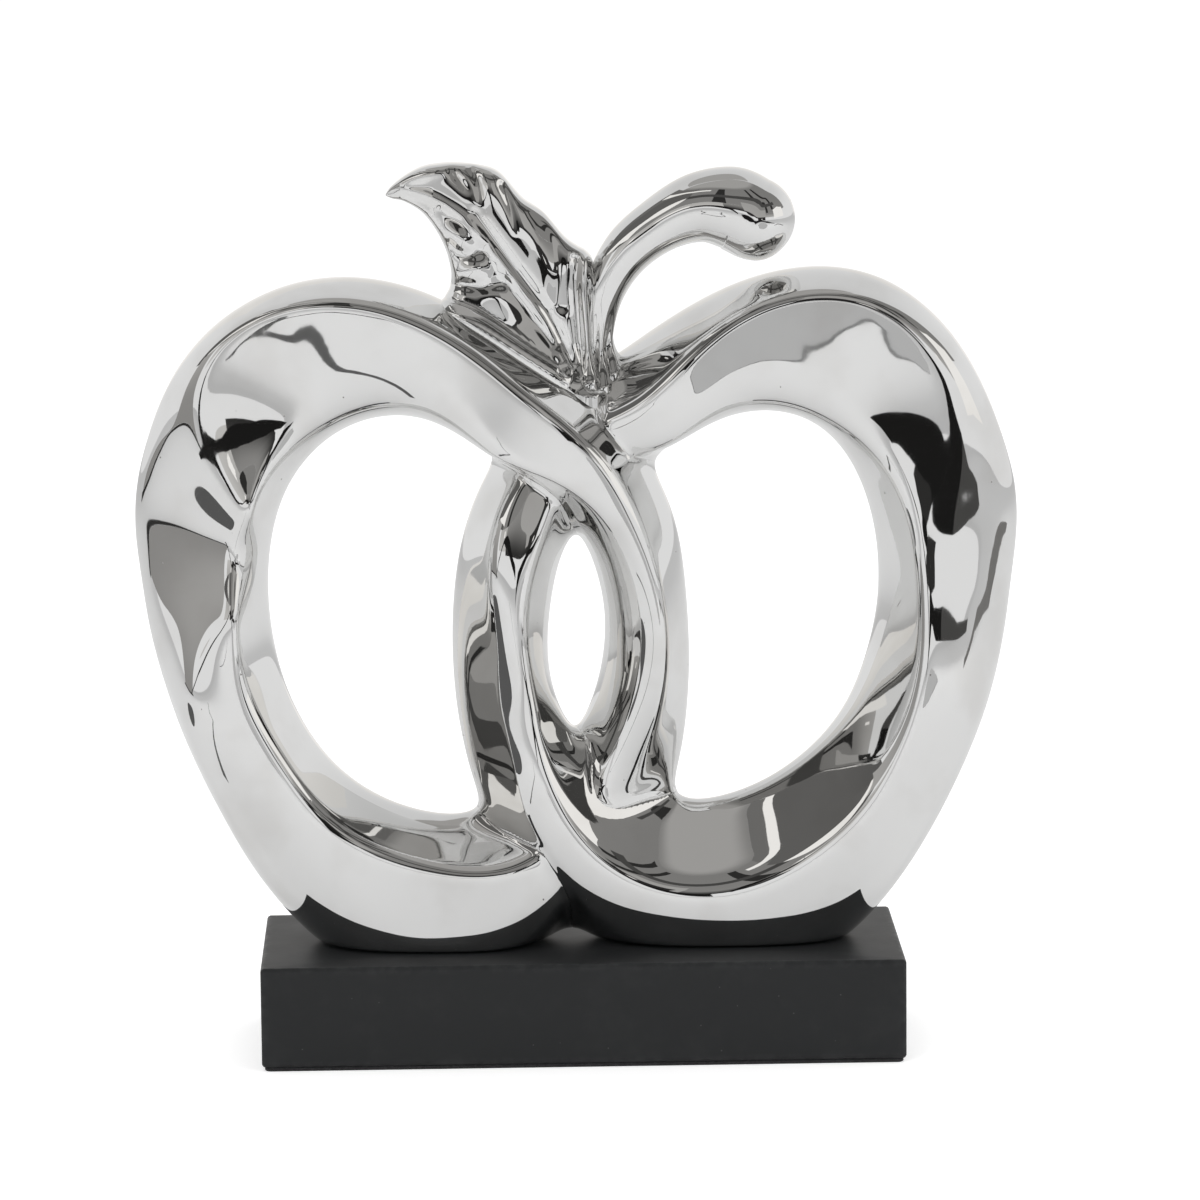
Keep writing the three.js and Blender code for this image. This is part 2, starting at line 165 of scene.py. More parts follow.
@dataclass(frozen=True)
class GlazeWaves:
    """Unevenness of the hand-finished glaze: sine waves in fixed directions, in millimetres."""

    heights: Guide = (0.025, 0.022, 0.016, 0.009, 0.007, 0.004, 0.003)
    lengths: Guide = (46.0, 38.0, 31.0, 23.0, 19.0, 14.0, 12.0)
    directions: Points = (
        (0.8, 0.3, 0.52), (-0.35, 0.5, 0.79), (0.2, -0.75, 0.63), (0.9, 0.1, -0.42), (-0.5, -0.4, 0.77),
        (0.3, 0.85, 0.43), (0.66, -0.33, 0.67),
    )
    phase_step: float = 1.7

    def at(self, points: Array) -> Array:
        """Heights of the surface.

        Args:
            points: Places.

        Returns:
            The sum of the waves, each its height times sin(direction . point times TURN / length + phase).
        """
        ways = np.asarray(self.directions) * TURN / np.asarray(self.lengths)[:, None]
        phases = np.arange(len(self.heights)) * self.phase_step
        return np.sin(points @ ways.T + phases) @ np.asarray(self.heights)


# Meshes


def grid_faces(rows: int, columns: int, wrap_rows: bool) -> Array:
    """Quads of a grid of points whose last column joins the first.

    Args:
        rows: Number of rows of points.
        columns: Number of points in a row.
        wrap_rows: Whether the last row joins the first too.

    Returns:
        Vertex numbers, four to a face.
    """
    i = np.arange(rows if wrap_rows else rows - 1)[:, None]
    j = np.arange(columns)[None, :]
    i2, j2 = (i + 1) % rows, (j + 1) % columns
    corners = (i * columns + j, i * columns + j2, i2 * columns + j2, i2 * columns + j)
    return np.stack(np.broadcast_arrays(*corners), axis=-1).reshape(-1, 4)


def grid_normals(points: Array, wrap_rows: bool) -> Array:
    """Unit normals of a grid of points whose last column joins the first.

    Args:
        points: Rows of points, rows x columns x 3.
        wrap_rows: Whether the last row joins the first too.

    Returns:
        The normals, as the cross product of the steps along both ways of the grid.
    """
    along = np.gradient(points, axis=0)
    if wrap_rows:
        along = np.roll(points, -1, axis=0) - np.roll(points, 1, axis=0)
    round_ = np.roll(points, -1, axis=1) - np.roll(points, 1, axis=1)
    normal = np.cross(along, round_)
    return normal / np.maximum(np.linalg.norm(normal, axis=-1, keepdims=True), TINY)


def closed(points: Array) -> Array:
    """A grid with a row more at each end, gathered in the middle of the end row, so that it is shut."""
    ends = [np.broadcast_to(row.mean(axis=0), row.shape)[None] for row in (points[0], points[-1])]
    return np.concatenate([ends[0], points, ends[1]])


def outward(points: Array, faces: Array) -> Array:
    """Faces of a closed mesh, turned round if they enclose a negative volume.

    Args:
        points: Vertices.
        faces: Vertex numbers, four to a face.

    Returns:
        The faces, with their normals pointing out.
    """
    a, b, c, d = (points[faces[:, k]] for k in range(4))
    volume = np.sum(np.cross(a, b) * c) + np.sum(np.cross(a, c) * d)
    return faces if volume > 0 else faces[:, ::-1]


def mesh_object(name: str, points: Array, wrap_rows: bool = False) -> bpy.types.Object:
    """A smooth mesh object at the origin from a closed grid of points.

    Args:
        name: Name of the object.
        points: Rows of points in millimetres, rows x columns x 3.
        wrap_rows: Whether the last row joins the first.

    Returns:
        The new object, with doubles merged and its faces pointing out.
    """
    rows, columns = points.shape[:2]
    flat = points.reshape(-1, 3)
    faces = outward(flat, grid_faces(rows, columns, wrap_rows))
    mesh = bpy.data.meshes.new(name)
    mesh.from_pydata((flat * MM).tolist(), [], faces.tolist())
    work = bmesh.new()
    work.from_mesh(mesh)
    bmesh.ops.remove_doubles(work, verts=work.verts, dist=MERGE_DISTANCE)
    work.to_mesh(mesh)
    work.free()
    mesh.shade_smooth()
    made = bpy.data.objects.new(name, mesh)
    bpy.context.scene.collection.objects.link(made)
    return made


# Finishes


class Value:
    """A shader socket that takes part in Python expressions."""

    def __init__(self, nodes: "Nodes", socket: bpy.types.NodeSocket) -> None:
        """Keeps the socket and the node tree it belongs to."""
        self.nodes = nodes
        self.socket = socket

    def math(self, operation: str, *others: "Value | float", swap: bool = False) -> "Value":
        """Adds a Math node.

        Args:
            operation: The node's operation.
            others: Its other operands.
            swap: Whether this value comes last.

        Returns:
            The node's result.
        """
        operands = (*others, self) if swap else (self, *others)
        return self.nodes.add("ShaderNodeMath", {"operation": operation}, dict(enumerate(operands)))

    def __add__(self, other: "Value | float") -> "Value":
        """Sum."""
        return self.math("ADD", other)

    def __radd__(self, other: float) -> "Value":
        """Sum, turned round."""
        return self.math("ADD", other, swap=True)

    def __sub__(self, other: "Value | float") -> "Value":
        """Difference."""
        return self.math("SUBTRACT", other)

    def __rsub__(self, other: float) -> "Value":
        """Difference, turned round."""
        return self.math("SUBTRACT", other, swap=True)

    def __mul__(self, other: "Value | float") -> "Value":
        """Product."""
        return self.math("MULTIPLY", other)

    def __rmul__(self, other: float) -> "Value":
        """Product, turned round."""
        return self.math("MULTIPLY", other, swap=True)

    def between(self, low: float, high: float) -> "Value":
        """Smooth step from 0 at the low value to 1 at the high one.

        Args:
            low: Where the step starts. It may lie above high for a step down.
            high: Where the step ends.

        Returns:
            The stepped value.
        """
        settings = {"interpolation_type": "SMOOTHSTEP"}
        return self.nodes.add("ShaderNodeMapRange", settings, {0: self, 1: low, 2: high})


Input = Value | float | tuple[float, ...]


class Nodes:
    """The node tree of a material or a world, emptied, with one way to add a node."""

    def __init__(self, owner: bpy.types.Material | bpy.types.World) -> None:
        """Turns nodes on for the owner and clears what is there."""
        owner.use_nodes = True
        self.tree = owner.node_tree
        self.tree.nodes.clear()

    def add(
        self, kind: str, settings: dict | None = None, inputs: dict | None = None, out: int | str = 0
    ) -> Value | None:
        """Adds a node.

        Args:
            kind: The node's type.
            settings: Its properties, set first. A ramp's stops are given as pairs of place and colour.
            inputs: Values or links of its sockets, by name or number.
            out: Which output is the result.

        Returns:
            The chosen output, or None for a node that has none.
        """
        node = self.tree.nodes.new(kind)
        for name, value in (settings or {}).items():
            setattr(node, name, value)
        for name, value in (inputs or {}).items():
            if isinstance(value, Value):
                self.tree.links.new(value.socket, node.inputs[name])
            else:
                node.inputs[name].default_value = value
        return Value(self, node.outputs[out]) if node.outputs else None

    def place(self) -> Value:
        """Object coordinates, in metres."""
        return self.add("ShaderNodeTexCoord", out="Object")

    def noise(self, place: Value, grain: "Grain") -> Value:
        """Noise between 0 and 1 on given coordinates."""
        inputs = {"Scale": grain.scale, "Detail": grain.detail, "Roughness": grain.roughness}
        return self.add("ShaderNodeTexNoise", inputs={"Vector": place, **inputs})

    def specks(self, place: Value, scale: float) -> Value:
        """Distance to the nearest of scattered points, in shares of their spacing."""
        return self.add("ShaderNodeTexVoronoi", inputs={"Vector": place, "Scale": scale})

    def mix(self, share: Input, first: Input, second: Input) -> Value:
        """A blend of two colours.

        Args:
            share: How much of the second colour shows.
            first: First colour.
            second: Second colour.

        Returns:
            The blended colour.
        """
        settings = {"data_type": "RGBA"}
        return self.add("ShaderNodeMix", settings, {0: share, 6: first, 7: second}, out=2)

    def bump(self, height: Value, strength: float, depth: float, normal: Value | None = None) -> Value:
        """A normal that follows a height.

        Args:
            height: Height between 0 and 1.
            strength: Strength of the effect.
            depth: What a height of 1 stands for, in metres.
            normal: Normal to start from.

        Returns:
            The bent normal.
        """
        inputs = {"Strength": strength, "Distance": depth, "Height": height}
        if normal:
            inputs["Normal"] = normal
        return self.add("ShaderNodeBump", inputs=inputs)

    def principled(self, inputs: dict[str, Input]) -> Value:
        """The usual shader, with the given sockets set."""
        return self.add("ShaderNodeBsdfPrincipled", inputs=inputs)

    def surface(self, shader: Value, kind: str = "Material") -> None:
        """Links a shader to the output."""
        self.add(f"ShaderNodeOutput{kind}", inputs={"Surface": shader})

    def glow(self, colour: Input) -> None:
        """Ends the tree in an even glow."""
        self.surface(self.add("ShaderNodeEmission", inputs={"Color": colour, "Strength": 1.0}))


@dataclass(frozen=True)
class Grain:
    """A noise pattern: features to the metre, number of finer layers and the strength of each."""

    scale: float
    detail: float = 2.0
    roughness: float = 0.5


def rgb(red: float, green: float, blue: float) -> Colour:
    """A linear colour with full alpha."""
    return (red, green, blue, 1.0)


WHITE = rgb(1, 1, 1)


class Finish:
    """A finish of the object: a shader on Object coordinates, in a material named for its slot."""

    slot: ClassVar[Slot]

    def shader(self, nodes: Nodes, place: Value) -> Value:
        """The finish's shader.

        Args:
            nodes: Node tree.
            place: Object coordinates.

        Returns:
            The shader.
        """
        raise NotImplementedError

    def material(self) -> bpy.types.Material:
        """The finish as a material."""
        made = bpy.data.materials.new(self.slot.value)
        nodes = Nodes(made)
        nodes.surface(self.shader(nodes, nodes.place()))
        return made


@dataclass(frozen=True)
class ChromeGlaze(Finish):
    """Mirror chrome film over glazed ceramic: pale silver, faintly cloudy, with rare pinholes."""

    slot: ClassVar[Slot] = Slot.CHROME
    film: Colour = rgb(0.80, 0.80, 0.795)
    cloud: Colour = rgb(0.74, 0.735, 0.725)
    pit: Colour = rgb(0.30, 0.29, 0.28)
    gloss: float = 0.025
    haze: float = 0.05
    pit_roughness: float = 0.3
    clouds: Grain = Grain(38, 3)
    cloud_range: Range = (0.45, 0.75)
    smears: Grain = Grain(130, 4, 0.6)
    smear_range: Range = (0.5, 0.8)
    ripple: Grain = Grain(160, 1.5)
    ripple_bump: Range = (0.5, 0.000007)
    pit_scale: float = 80
    pit_range: Range = (0.032, 0.018)
    pit_bump: Range = (0.6, 0.0001)

    def shader(self, nodes: Nodes, place: Value) -> Value:
        """Clouds, haze and ripple from noise, and pinholes from scattered points."""
        clouds = nodes.noise(place, self.clouds).between(*self.cloud_range)
        smears = nodes.noise(place, self.smears).between(*self.smear_range)
        pits = nodes.specks(place, self.pit_scale).between(*self.pit_range)
        ripple = nodes.bump(nodes.noise(place, self.ripple), *self.ripple_bump)
        return nodes.principled({
            "Base Color": nodes.mix(pits, nodes.mix(clouds, self.film, self.cloud), self.pit),
            "Metallic": 1.0,
            "Roughness": self.gloss + self.haze * clouds * smears + self.pit_roughness * pits,
            "Normal": nodes.bump(1 - pits, *self.pit_bump, ripple),
        })


@dataclass(frozen=True)
class BlackLacquer(Finish):
    """Satin black lacquer on a wooden block: faint orange peel, dust, and a painted highlight that lightens
    the edges.
    """

    slot: ClassVar[Slot] = Slot.LACQUER
    black: Colour = rgb(0.0165, 0.0175, 0.0185)
    # Lighter black, used both for the random mottle and for the painted edge highlight.
    worn: Colour = rgb(0.030, 0.031, 0.032)
    dust: Colour = rgb(0.11, 0.11, 0.11)
    half_size: Place = (0.116, 0.045, 0.01825)
    middle: Place = (0.0, 0.0, 0.01975)
    # The painted highlight along the edges: its noise, how far it reaches, how strong it is, and how much
    # less rough the edges are.
    rub: Grain = Grain(300, 3)
    rub_range: Range = (0.35, 0.7)
    rub_reach: Range = (0.0035, 0.0005)
    rub_share: float = 0.6
    rub_polish: float = 0.08
    mottle: Grain = Grain(55, 4, 0.6)
    mottle_range: Range = (0.45, 0.8)
    mottle_share: float = 0.35
    mottle_haze: float = 0.14
    dust_scale: float = 150
    dust_range: Range = (0.05, 0.03)
    dust_share: float = 0.4
    dust_bump: Range = (0.4, 0.0001)
    peel: Grain = Grain(900)
    peel_bump: Range = (0.35, 0.00008)
    satin: float = 0.42
    specular: float = 0.28

    def edge(self, nodes: Nodes, place: Value) -> Value:
        """How near a place is to an edge of the block.

        Args:
            nodes: Node tree.
            place: Object coordinates.

        Returns:
            1 where two of the block's faces meet and 0 further than the painted edge highlight reaches from
            any edge.
        """
        centred = nodes.add("ShaderNodeVectorMath", {"operation": "SUBTRACT"}, {0: place, 1: self.middle})
        inside = nodes.add("ShaderNodeVectorMath", {"operation": "ABSOLUTE"}, {0: centred})
        axes = [nodes.add("ShaderNodeSeparateXYZ", inputs={0: inside}, out=k) for k in range(3)]
        far, close = self.rub_reach
        x, y, z = (axis.between(half - far, half - close) for axis, half in zip(axes, self.half_size))
        return (x * y).math("MAXIMUM", (y * z).math("MAXIMUM", x * z))

    def shader(self, nodes: Nodes, place: Value) -> Value:
        """Mottled black, with a painted highlight that makes the edges lighter, and specks of dust."""
        mottle = nodes.noise(place, self.mottle)
        # Painted highlight: lighter colour in a noisy band along the block's edges.
        rub = self.edge(nodes, place) * nodes.noise(place, self.rub).between(*self.rub_range)
        dust = nodes.specks(place, self.dust_scale).between(*self.dust_range)
        mottle_and_highlight = self.mottle_share * mottle.between(*self.mottle_range) + self.rub_share * rub
        shade = nodes.mix(mottle_and_highlight, self.black, self.worn)
        peel = nodes.bump(nodes.noise(place, self.peel), *self.peel_bump)
        return nodes.principled({
            "Base Color": nodes.mix(self.dust_share * dust, shade, self.dust),
            "Roughness": self.satin + self.mottle_haze * mottle - self.rub_polish * rub,
            "Specular IOR Level": self.specular,
            "Normal": nodes.bump(dust, *self.dust_bump, peel),
        })


@dataclass(frozen=True)
class BlackFelt(Finish):
    """Pressed black felt: matted fibres."""

    slot: ClassVar[Slot] = Slot.FELT
    deep: Colour = rgb(0.010, 0.010, 0.011)
    fibre: Colour = rgb(0.035, 0.035, 0.038)
    fibres: Grain = Grain(1400, 5, 0.7)
    fibre_range: Range = (0.35, 0.75)
    fibre_share: float = 0.6
    tufts: Grain = Grain(260, 3)
    tuft_share: float = 0.4
    pile_bump: Range = (0.8, 0.0004)
    roughness: float = 0.95
    sheen: float = 0.25

    def shader(self, nodes: Nodes, place: Value) -> Value:
        """Noise for the fibres and tufts, with a little sheen."""
        fibres, tufts = nodes.noise(place, self.fibres), nodes.noise(place, self.tufts)
        return nodes.principled({
            "Base Color": nodes.mix(fibres.between(*self.fibre_range), self.deep, self.fibre),
            "Roughness": self.roughness,
            "Sheen Weight": self.sheen,
            "Normal": nodes.bump(self.fibre_share * fibres + self.tuft_share * tufts, *self.pile_bump),
        })


@dataclass(frozen=True)
class Plaster(Finish):
    """Set casting plaster: chalky, with small air holes."""

    slot: ClassVar[Slot] = Slot.PLASTER
    pale: Colour = rgb(0.76, 0.72, 0.64)
    damp: Colour = rgb(0.62, 0.58, 0.50)
    blotches: Grain = Grain(90, 4)
    hole_scale: float = 400
    hole_range: Range = (0.2, 0.1)
    hole_bump: Range = (0.7, 0.0005)
    roughness: float = 0.9

    def shader(self, nodes: Nodes, place: Value) -> Value:
        """Blotches from noise and holes from scattered points."""
        holes = nodes.specks(place, self.hole_scale).between(*self.hole_range)
        return nodes.principled({
            "Base Color": nodes.mix(nodes.noise(place, self.blotches), self.pale, self.damp),
            "Roughness": self.roughness,
            "Normal": nodes.bump(1 - holes, *self.hole_bump),
        })


@dataclass(frozen=True)
class ZincSteel(Finish):
    """Zinc plated steel: grey metal with a spangled plating."""

    slot: ClassVar[Slot] = Slot.STEEL
    bright: Colour = rgb(0.58, 0.59, 0.61)
    dull: Colour = rgb(0.42, 0.43, 0.45)
    spangle: Grain = Grain(500, 3)
    gloss: float = 0.28
    dulling: float = 0.2

    def shader(self, nodes: Nodes, place: Value) -> Value:
        """Spangle and roughness from noise."""
        spangle = nodes.noise(place, self.spangle)
        return nodes.principled({
            "Base Color": nodes.mix(spangle, self.bright, self.dull),
            "Metallic": 1.0,
            "Roughness": self.gloss + self.dulling * spangle,
        })


# Rings


@dataclass(frozen=True)
class RingGuides:
    """Guides of a ring's front at 16 even angles, from its bar over the top, the outside and the foot.

    Rims and ridges are radii. The rims lie on the ring's middle plane, and depths are how far the ridges
    stand forward. Softness is how wide a ridge is rounded.
    """

    outer_rim: Guide
    inner_rim: Guide
    outer_ridge: Guide
    inner_ridge: Guide
    outer_depth: Guide
    inner_depth: Guide
    outer_softness: Guide
    inner_softness: Guide

    def at(self, angle: Array) -> dict[str, Array]:
        """All guide values at the given angles, by name."""
        return {f.name: PeriodicCurve(getattr(self, f.name)).at(angle) for f in fields(self)}


LEFT_GUIDES = RingGuides(
    outer_rim=(
        95.7, 97, 98.5, 101.5, 116.7, 128, 124.3, 109.6, 99.7, 97.5, 104.8, 123.5, 138, 127.5, 117, 103,
    ),
    inner_rim=(65.5, 64, 64.5, 64, 70.8, 72.3, 67, 59.5, 55.5, 56, 60.5, 67.5, 74, 77.5, 73.5, 68.5),
    outer_ridge=(86, 83.5, 86.5, 92, 109, 123, 118.5, 95, 86, 91.5, 99, 117.5, 126, 118, 96, 90),
    inner_ridge=(80, 76, 70, 65, 74, 78, 77, 69.5, 67.5, 68.5, 71.5, 81, 89, 95, 86, 82),
    outer_depth=(26, 28, 31, 31, 25.5, 20, 15, 17.5, 23.5, 29.5, 29.5, 26.5, 25.5, 25, 17, 22),
    inner_depth=(26, 28, 31, 30, 23.5, 17.5, 22, 29.5, 29, 28, 26.5, 26, 27, 27.5, 17, 22),
    outer_softness=(6, 6, 4, 5, 6, 5, 12, 40, 22, 16, 24, 30, 10, 15, 10, 6),
    inner_softness=(10, 8, 4, 8, 20, 14, 6, 5, 5, 5, 5, 5, 5, 5, 10, 10),
)
RIGHT_GUIDES = RingGuides(
    outer_rim=(
        101.2, 101, 100, 101, 116.7, 130.6, 123.3, 109, 100, 99.6, 107, 125, 142, 132, 119.5, 107.5,
    ),
    inner_rim=(66, 64.5, 63, 63.2, 70.3, 73.5, 65.5, 57, 52.5, 52, 55.5, 61, 69, 75.5, 74, 71),
    outer_ridge=(83.5, 90.5, 88, 85, 107.5, 123.5, 117.5, 103, 94, 93.5, 101, 119, 124, 119, 103, 83.5),
    inner_ridge=(76.5, 75, 75, 66, 73, 77, 77, 71, 68, 71, 78, 88, 98, 101, 91, 79),
    outer_depth=(24, 20, 14, 24, 24.5, 20.5, 17, 18, 21, 25.5, 28, 26, 24, 26, 29, 27),
    inner_depth=(24, 20, 14, 22, 21.5, 18, 19.5, 23.5, 27.5, 30, 29.5, 28.5, 27, 28.5, 29.5, 27),
    outer_softness=(8, 7, 5, 6, 6, 5, 14, 28, 25, 20, 28, 24, 14, 12, 6, 8),
    inner_softness=(5, 5, 5, 8, 20, 14, 6, 5, 5, 5, 5, 6, 8, 8, 6, 5),
)


@dataclass
class Section:
    """Cross-sections of a ring at some angles: a frame of six corners, whose sides are rounded together."""

    front: dict[str, Array]
    back: dict[str, Array]
    middle: Array
    inner_rim: Array
    outer_rim: Array
    rim_softness: float

    def corners(self) -> list[tuple[Array, Array]]:
        """The frame's corners as radius and depth: inner rim, front ridges, outer rim, back ridges."""
        return [
            (self.inner_rim, self.middle),
            (self.front["inner_ridge"], -self.front["inner_depth"]),
            (self.front["outer_ridge"], -self.front["outer_depth"]),
            (self.outer_rim, self.middle),
            (self.back["outer_ridge"], self.back["outer_depth"]),
            (self.back["inner_ridge"], self.back["inner_depth"]),
        ]

    def sides(self) -> list[tuple[tuple[Array, Array], tuple[Array, Array]]]:
        """The frame's sides as pairs of corners."""
        corners = self.corners()
        return list(zip(corners, corners[1:] + corners[:1]))

    def field(self, r: Array, y: Array) -> Array:
        """How far points lie outside the section.

        Args:
            r: Radii.
            y: Depths.

        Returns:
            The smooth maximum of the distances from the frame's six sides, rounded by the ridges' softness.
        """
        side = [
            ((y2 - y1) * (r - r1) - (r2 - r1) * (y - y1)) / np.hypot(r2 - r1, y2 - y1)
            for (r1, y1), (r2, y2) in self.sides()
        ]
        front = smooth_max(side[0], side[1], self.front["inner_softness"])
        front = smooth_max(front, side[2], self.front["outer_softness"])
        back = smooth_max(side[5], side[4], self.back["inner_softness"])
        back = smooth_max(back, side[3], self.back["outer_softness"])
        return smooth_max(front, back, self.rim_softness)


@dataclass
class Ring:
    """One of the two interlaced rings. Its back follows the front of its partner."""

    name: str
    side: int
    front: RingGuides
    back: RingGuides
    centre_x: float = 56.0
    centre_z: float = 160.0
    foot: float = BLOCK_TOP + 0.3
    foot_softness: float = 3.0
    rim_softness: float = 14.0
    rim_steps: int = 3
    rim_samples: int = 1440
    slope_step: float = 0.1
    sections: int = 600
    edge_points: int = 26
    crowding: float = 0.6
    reach: float = 1.5
    halvings: int = 32

    def raw_section(self, angle: Array, inner_rim: Array, outer_rim: Array) -> Section:
        """The section at some angles with given rims."""
        front, back = self.front.at(angle), self.back.at(angle)
        middle = back["inner_depth"] + back["outer_depth"] - front["inner_depth"] - front["outer_depth"]
        return Section(front, back, middle / 4, inner_rim, outer_rim, self.rim_softness)

    @cached_property
    def rims(self) -> tuple[Array, Array, Array]:
        """Angles, and the rims there, moved out by what the rounding takes off, in a few Newton steps."""
        angle = np.linspace(0, TURN, self.rim_samples, endpoint=False)
        goal = [PeriodicCurve(guide).at(angle) for guide in (self.front.inner_rim, self.front.outer_rim)]
        rims = [values.copy() for values in goal]
        for _ in range(self.rim_steps):
            section = self.raw_section(angle, *rims)
            steps = []
            for r, way in zip(goal, (-1, 1)):
                value = section.field(r, section.middle)
                ahead = section.field(r + way * self.slope_step, section.middle)
                steps.append(way * value * self.slope_step / (ahead - value))
            rims = [rim + step for rim, step in zip(rims, steps)]
        return angle, rims[0], rims[1]

    def section(self, angle: Array) -> Section:
        """The section at some angles."""
        samples, inner, outer = self.rims
        rims = [np.interp(angle % TURN, samples, values, period=TURN) for values in (inner, outer)]
        return self.raw_section(angle, *rims)

    def field(self, points: Array) -> Array:
        """How far points lie outside the ring.

        Args:
            points: Places, n x 3.

        Returns:
            The field of the section that each point lies in, cut off smoothly at the foot.
        """
        across = self.centre_x - self.side * points[:, 0]
        up = points[:, 2] - self.centre_z
        section = self.section(np.arctan2(up, across))
        outside = section.field(np.hypot(across, up), points[:, 1])
        return smooth_max(outside, self.foot - points[:, 2], self.foot_softness)

    def surface(self) -> Array:
        """The ring's surface as a grid, angle by place round the section.

        Returns:
            Points found by halving steps from the section's middle towards points that run round its frame,
            closer together near the corners, until the field is zero.
        """
        angle = np.linspace(0, TURN, self.sections, endpoint=False)[:, None]
        section = self.section(angle)
        even = np.arange(self.edge_points) / self.edge_points
        t = (1 - self.crowding) * even + self.crowding * (1 - np.cos(np.pi * even)) / 2
        sides = section.sides()
        middle_r = (section.inner_rim + section.outer_rim) / 2
        step_r = np.concatenate([a[0] + (b[0] - a[0]) * t for a, b in sides], axis=1) - middle_r
        step_y = np.concatenate([a[1] + (b[1] - a[1]) * t for a, b in sides], axis=1) - section.middle
        low, high = np.zeros_like(step_r), np.full_like(step_r, self.reach)
        for _ in range(self.halvings):
            s = (low + high) / 2
            r = middle_r + s * step_r
            height = self.centre_z + r * np.sin(angle)
            value = section.field(r, section.middle + s * step_y)
            inside = smooth_max(value, self.foot - height, self.foot_softness) < 0
            low, high = np.where(inside, s, low), np.where(inside, high, s)
        r = middle_r + low * step_r
        x = self.side * (self.centre_x - r * np.cos(angle))
        return np.stack([x, section.middle + low * step_y, self.centre_z + r * np.sin(angle)], axis=-1)


def slope(shape: Field, points: Array, step: float = 0.05) -> Array:
    """Gradient of a field by central differences.

    Args:
        shape: The field.
        points: Places, n x 3.
        step: Half the distance over which it is measured.

    Returns:
        The gradients, n x 3.
    """
    ways = np.eye(3) * step
    return np.stack([shape(points + way) - shape(points - way) for way in ways], axis=-1) / (2 * step)


@dataclass
class Crossing:
    """The two rings grown together: each surface is carried onto their smooth union near the other ring."""

    left: Ring
    right: Ring
    crease: float = 4.0
    corner: float = 15.0
    corner_depth: float = 20.0
    dive: float = 1.6
    steps: int = 6
    seat_height: float = 6.0
    waves: GlazeWaves = GlazeWaves()

    def union(self, points: Array) -> Array:
        """Field of both rings, joined by a fillet, narrow in front and wide in the corners of the holes."""
        middle = ease(1 - np.abs(points[:, 1]) / self.corner_depth)
        width = self.crease + (self.corner - self.crease) * middle
        return smooth_min(self.left.field(points), self.right.field(points), width)

    def carried(self, points: Array, other: Ring) -> Array:
        """A ring's surface with the fillet where it meets the other ring.

        Args:
            points: The ring's own surface, rows x columns x 3.
            other: The other ring.

        Returns:
            Points near the other ring moved along the union's slope onto the union by Newton steps. Those
            that lie inside the other ring follow less the deeper they are, and so dive under its surface.
        """
        flat = points.reshape(-1, 3).copy()
        reach = other.field(flat)
        near = (reach < self.corner) & (reach > -self.dive)
        moved = flat[near]
        for _ in range(self.steps):
            way = slope(self.union, moved)
            moved = moved - self.union(moved)[:, None] * way / np.sum(way * way, axis=1, keepdims=True)
        share = ease(1 + reach[near] / self.dive)[:, None]
        flat[near] += share * (moved - flat[near])
        return flat.reshape(points.shape)

    def surfaces(self) -> dict[str, Array]:
        """Both rings' surfaces, with fillets and the unevenness of the glaze, by name."""
        made = {}
        for ring, other in ((self.left, self.right), (self.right, self.left)):
            points = self.carried(ring.surface(), other)
            normal = grid_normals(points, wrap_rows=True)
            seat = ease((points[..., 2] - ring.foot) / self.seat_height)
            made[ring.name] = points + normal * self.waves.at(points)[..., None] * seat[..., None]
        return made

    def seated(self, points: Array, normals: Array, width: float) -> Array:
        """A surface that flares where it stands on the rings.

        Args:
            points: Surface, rows x columns x 3.
            normals: Its normals.
            width: How far up the flare starts.

        Returns:
            Points moved out by (width - d)^2 / (2 width), with d their distance from the rings.
        """
        d = np.clip(self.union(points.reshape(-1, 3)), 0, width).reshape(points.shape[:2])
        out = (width - d) ** 2 / (2 * width)
        return points + normals * out[..., None]


# Leaf and stem


@dataclass(frozen=True)
class ReliefLine:
    """A ridge or groove along a line on the leaf, in x and height over the block."""

    points: Points
    rise: float
    width: float
    start: float = 1.0
    end: float = 1.0
    steps: int = 24

    def height(self, x: Array, z: Array) -> Array:
        """Height of the line's relief.

        Args:
            x: Places across.
            z: Places up, over the block.

        Returns:
            rise * exp(-(d / width)^2), with d the distance from the line, fading from start to end.
        """
        path = path_through(self.points, self.steps)
        a, step = path[:-1], np.diff(path, axis=0)
        place = np.stack([x, z], axis=-1)[..., None, :] - a
        t = np.clip(np.sum(place * step, axis=-1) / np.sum(step * step, axis=-1), 0, 1)
        gap = np.linalg.norm(place - t[..., None] * step, axis=-1)
        nearest = np.argmin(gap, axis=-1)
        d = np.take_along_axis(gap, nearest[..., None], axis=-1)[..., 0]
        along = (nearest + np.take_along_axis(t, nearest[..., None], axis=-1)[..., 0]) / len(a)
        fade = self.start + (self.end - self.start) * along
        return self.rise * fade * np.exp(-((d / self.width) ** 2))


@dataclass(frozen=True)
class ReliefLobe:
    """A swelling on the leaf: an ellipse about a place in x and height over the block."""

    x: float
    z: float
    length: float
    width: float
    turn: float
    rise: float

    def height(self, x: Array, z: Array) -> Array:
        """Height of the swelling: rise * (1 - q^2)^2, with q the share of the ellipse's radius."""
        c, s = np.cos(np.radians(self.turn)), np.sin(np.radians(self.turn))
        along = ((x - self.x) * c + (z - self.z) * s) / self.length
        across = ((z - self.z) * c - (x - self.x) * s) / self.width
        return self.rise * np.maximum(1 - along**2 - across**2, 0) ** 2


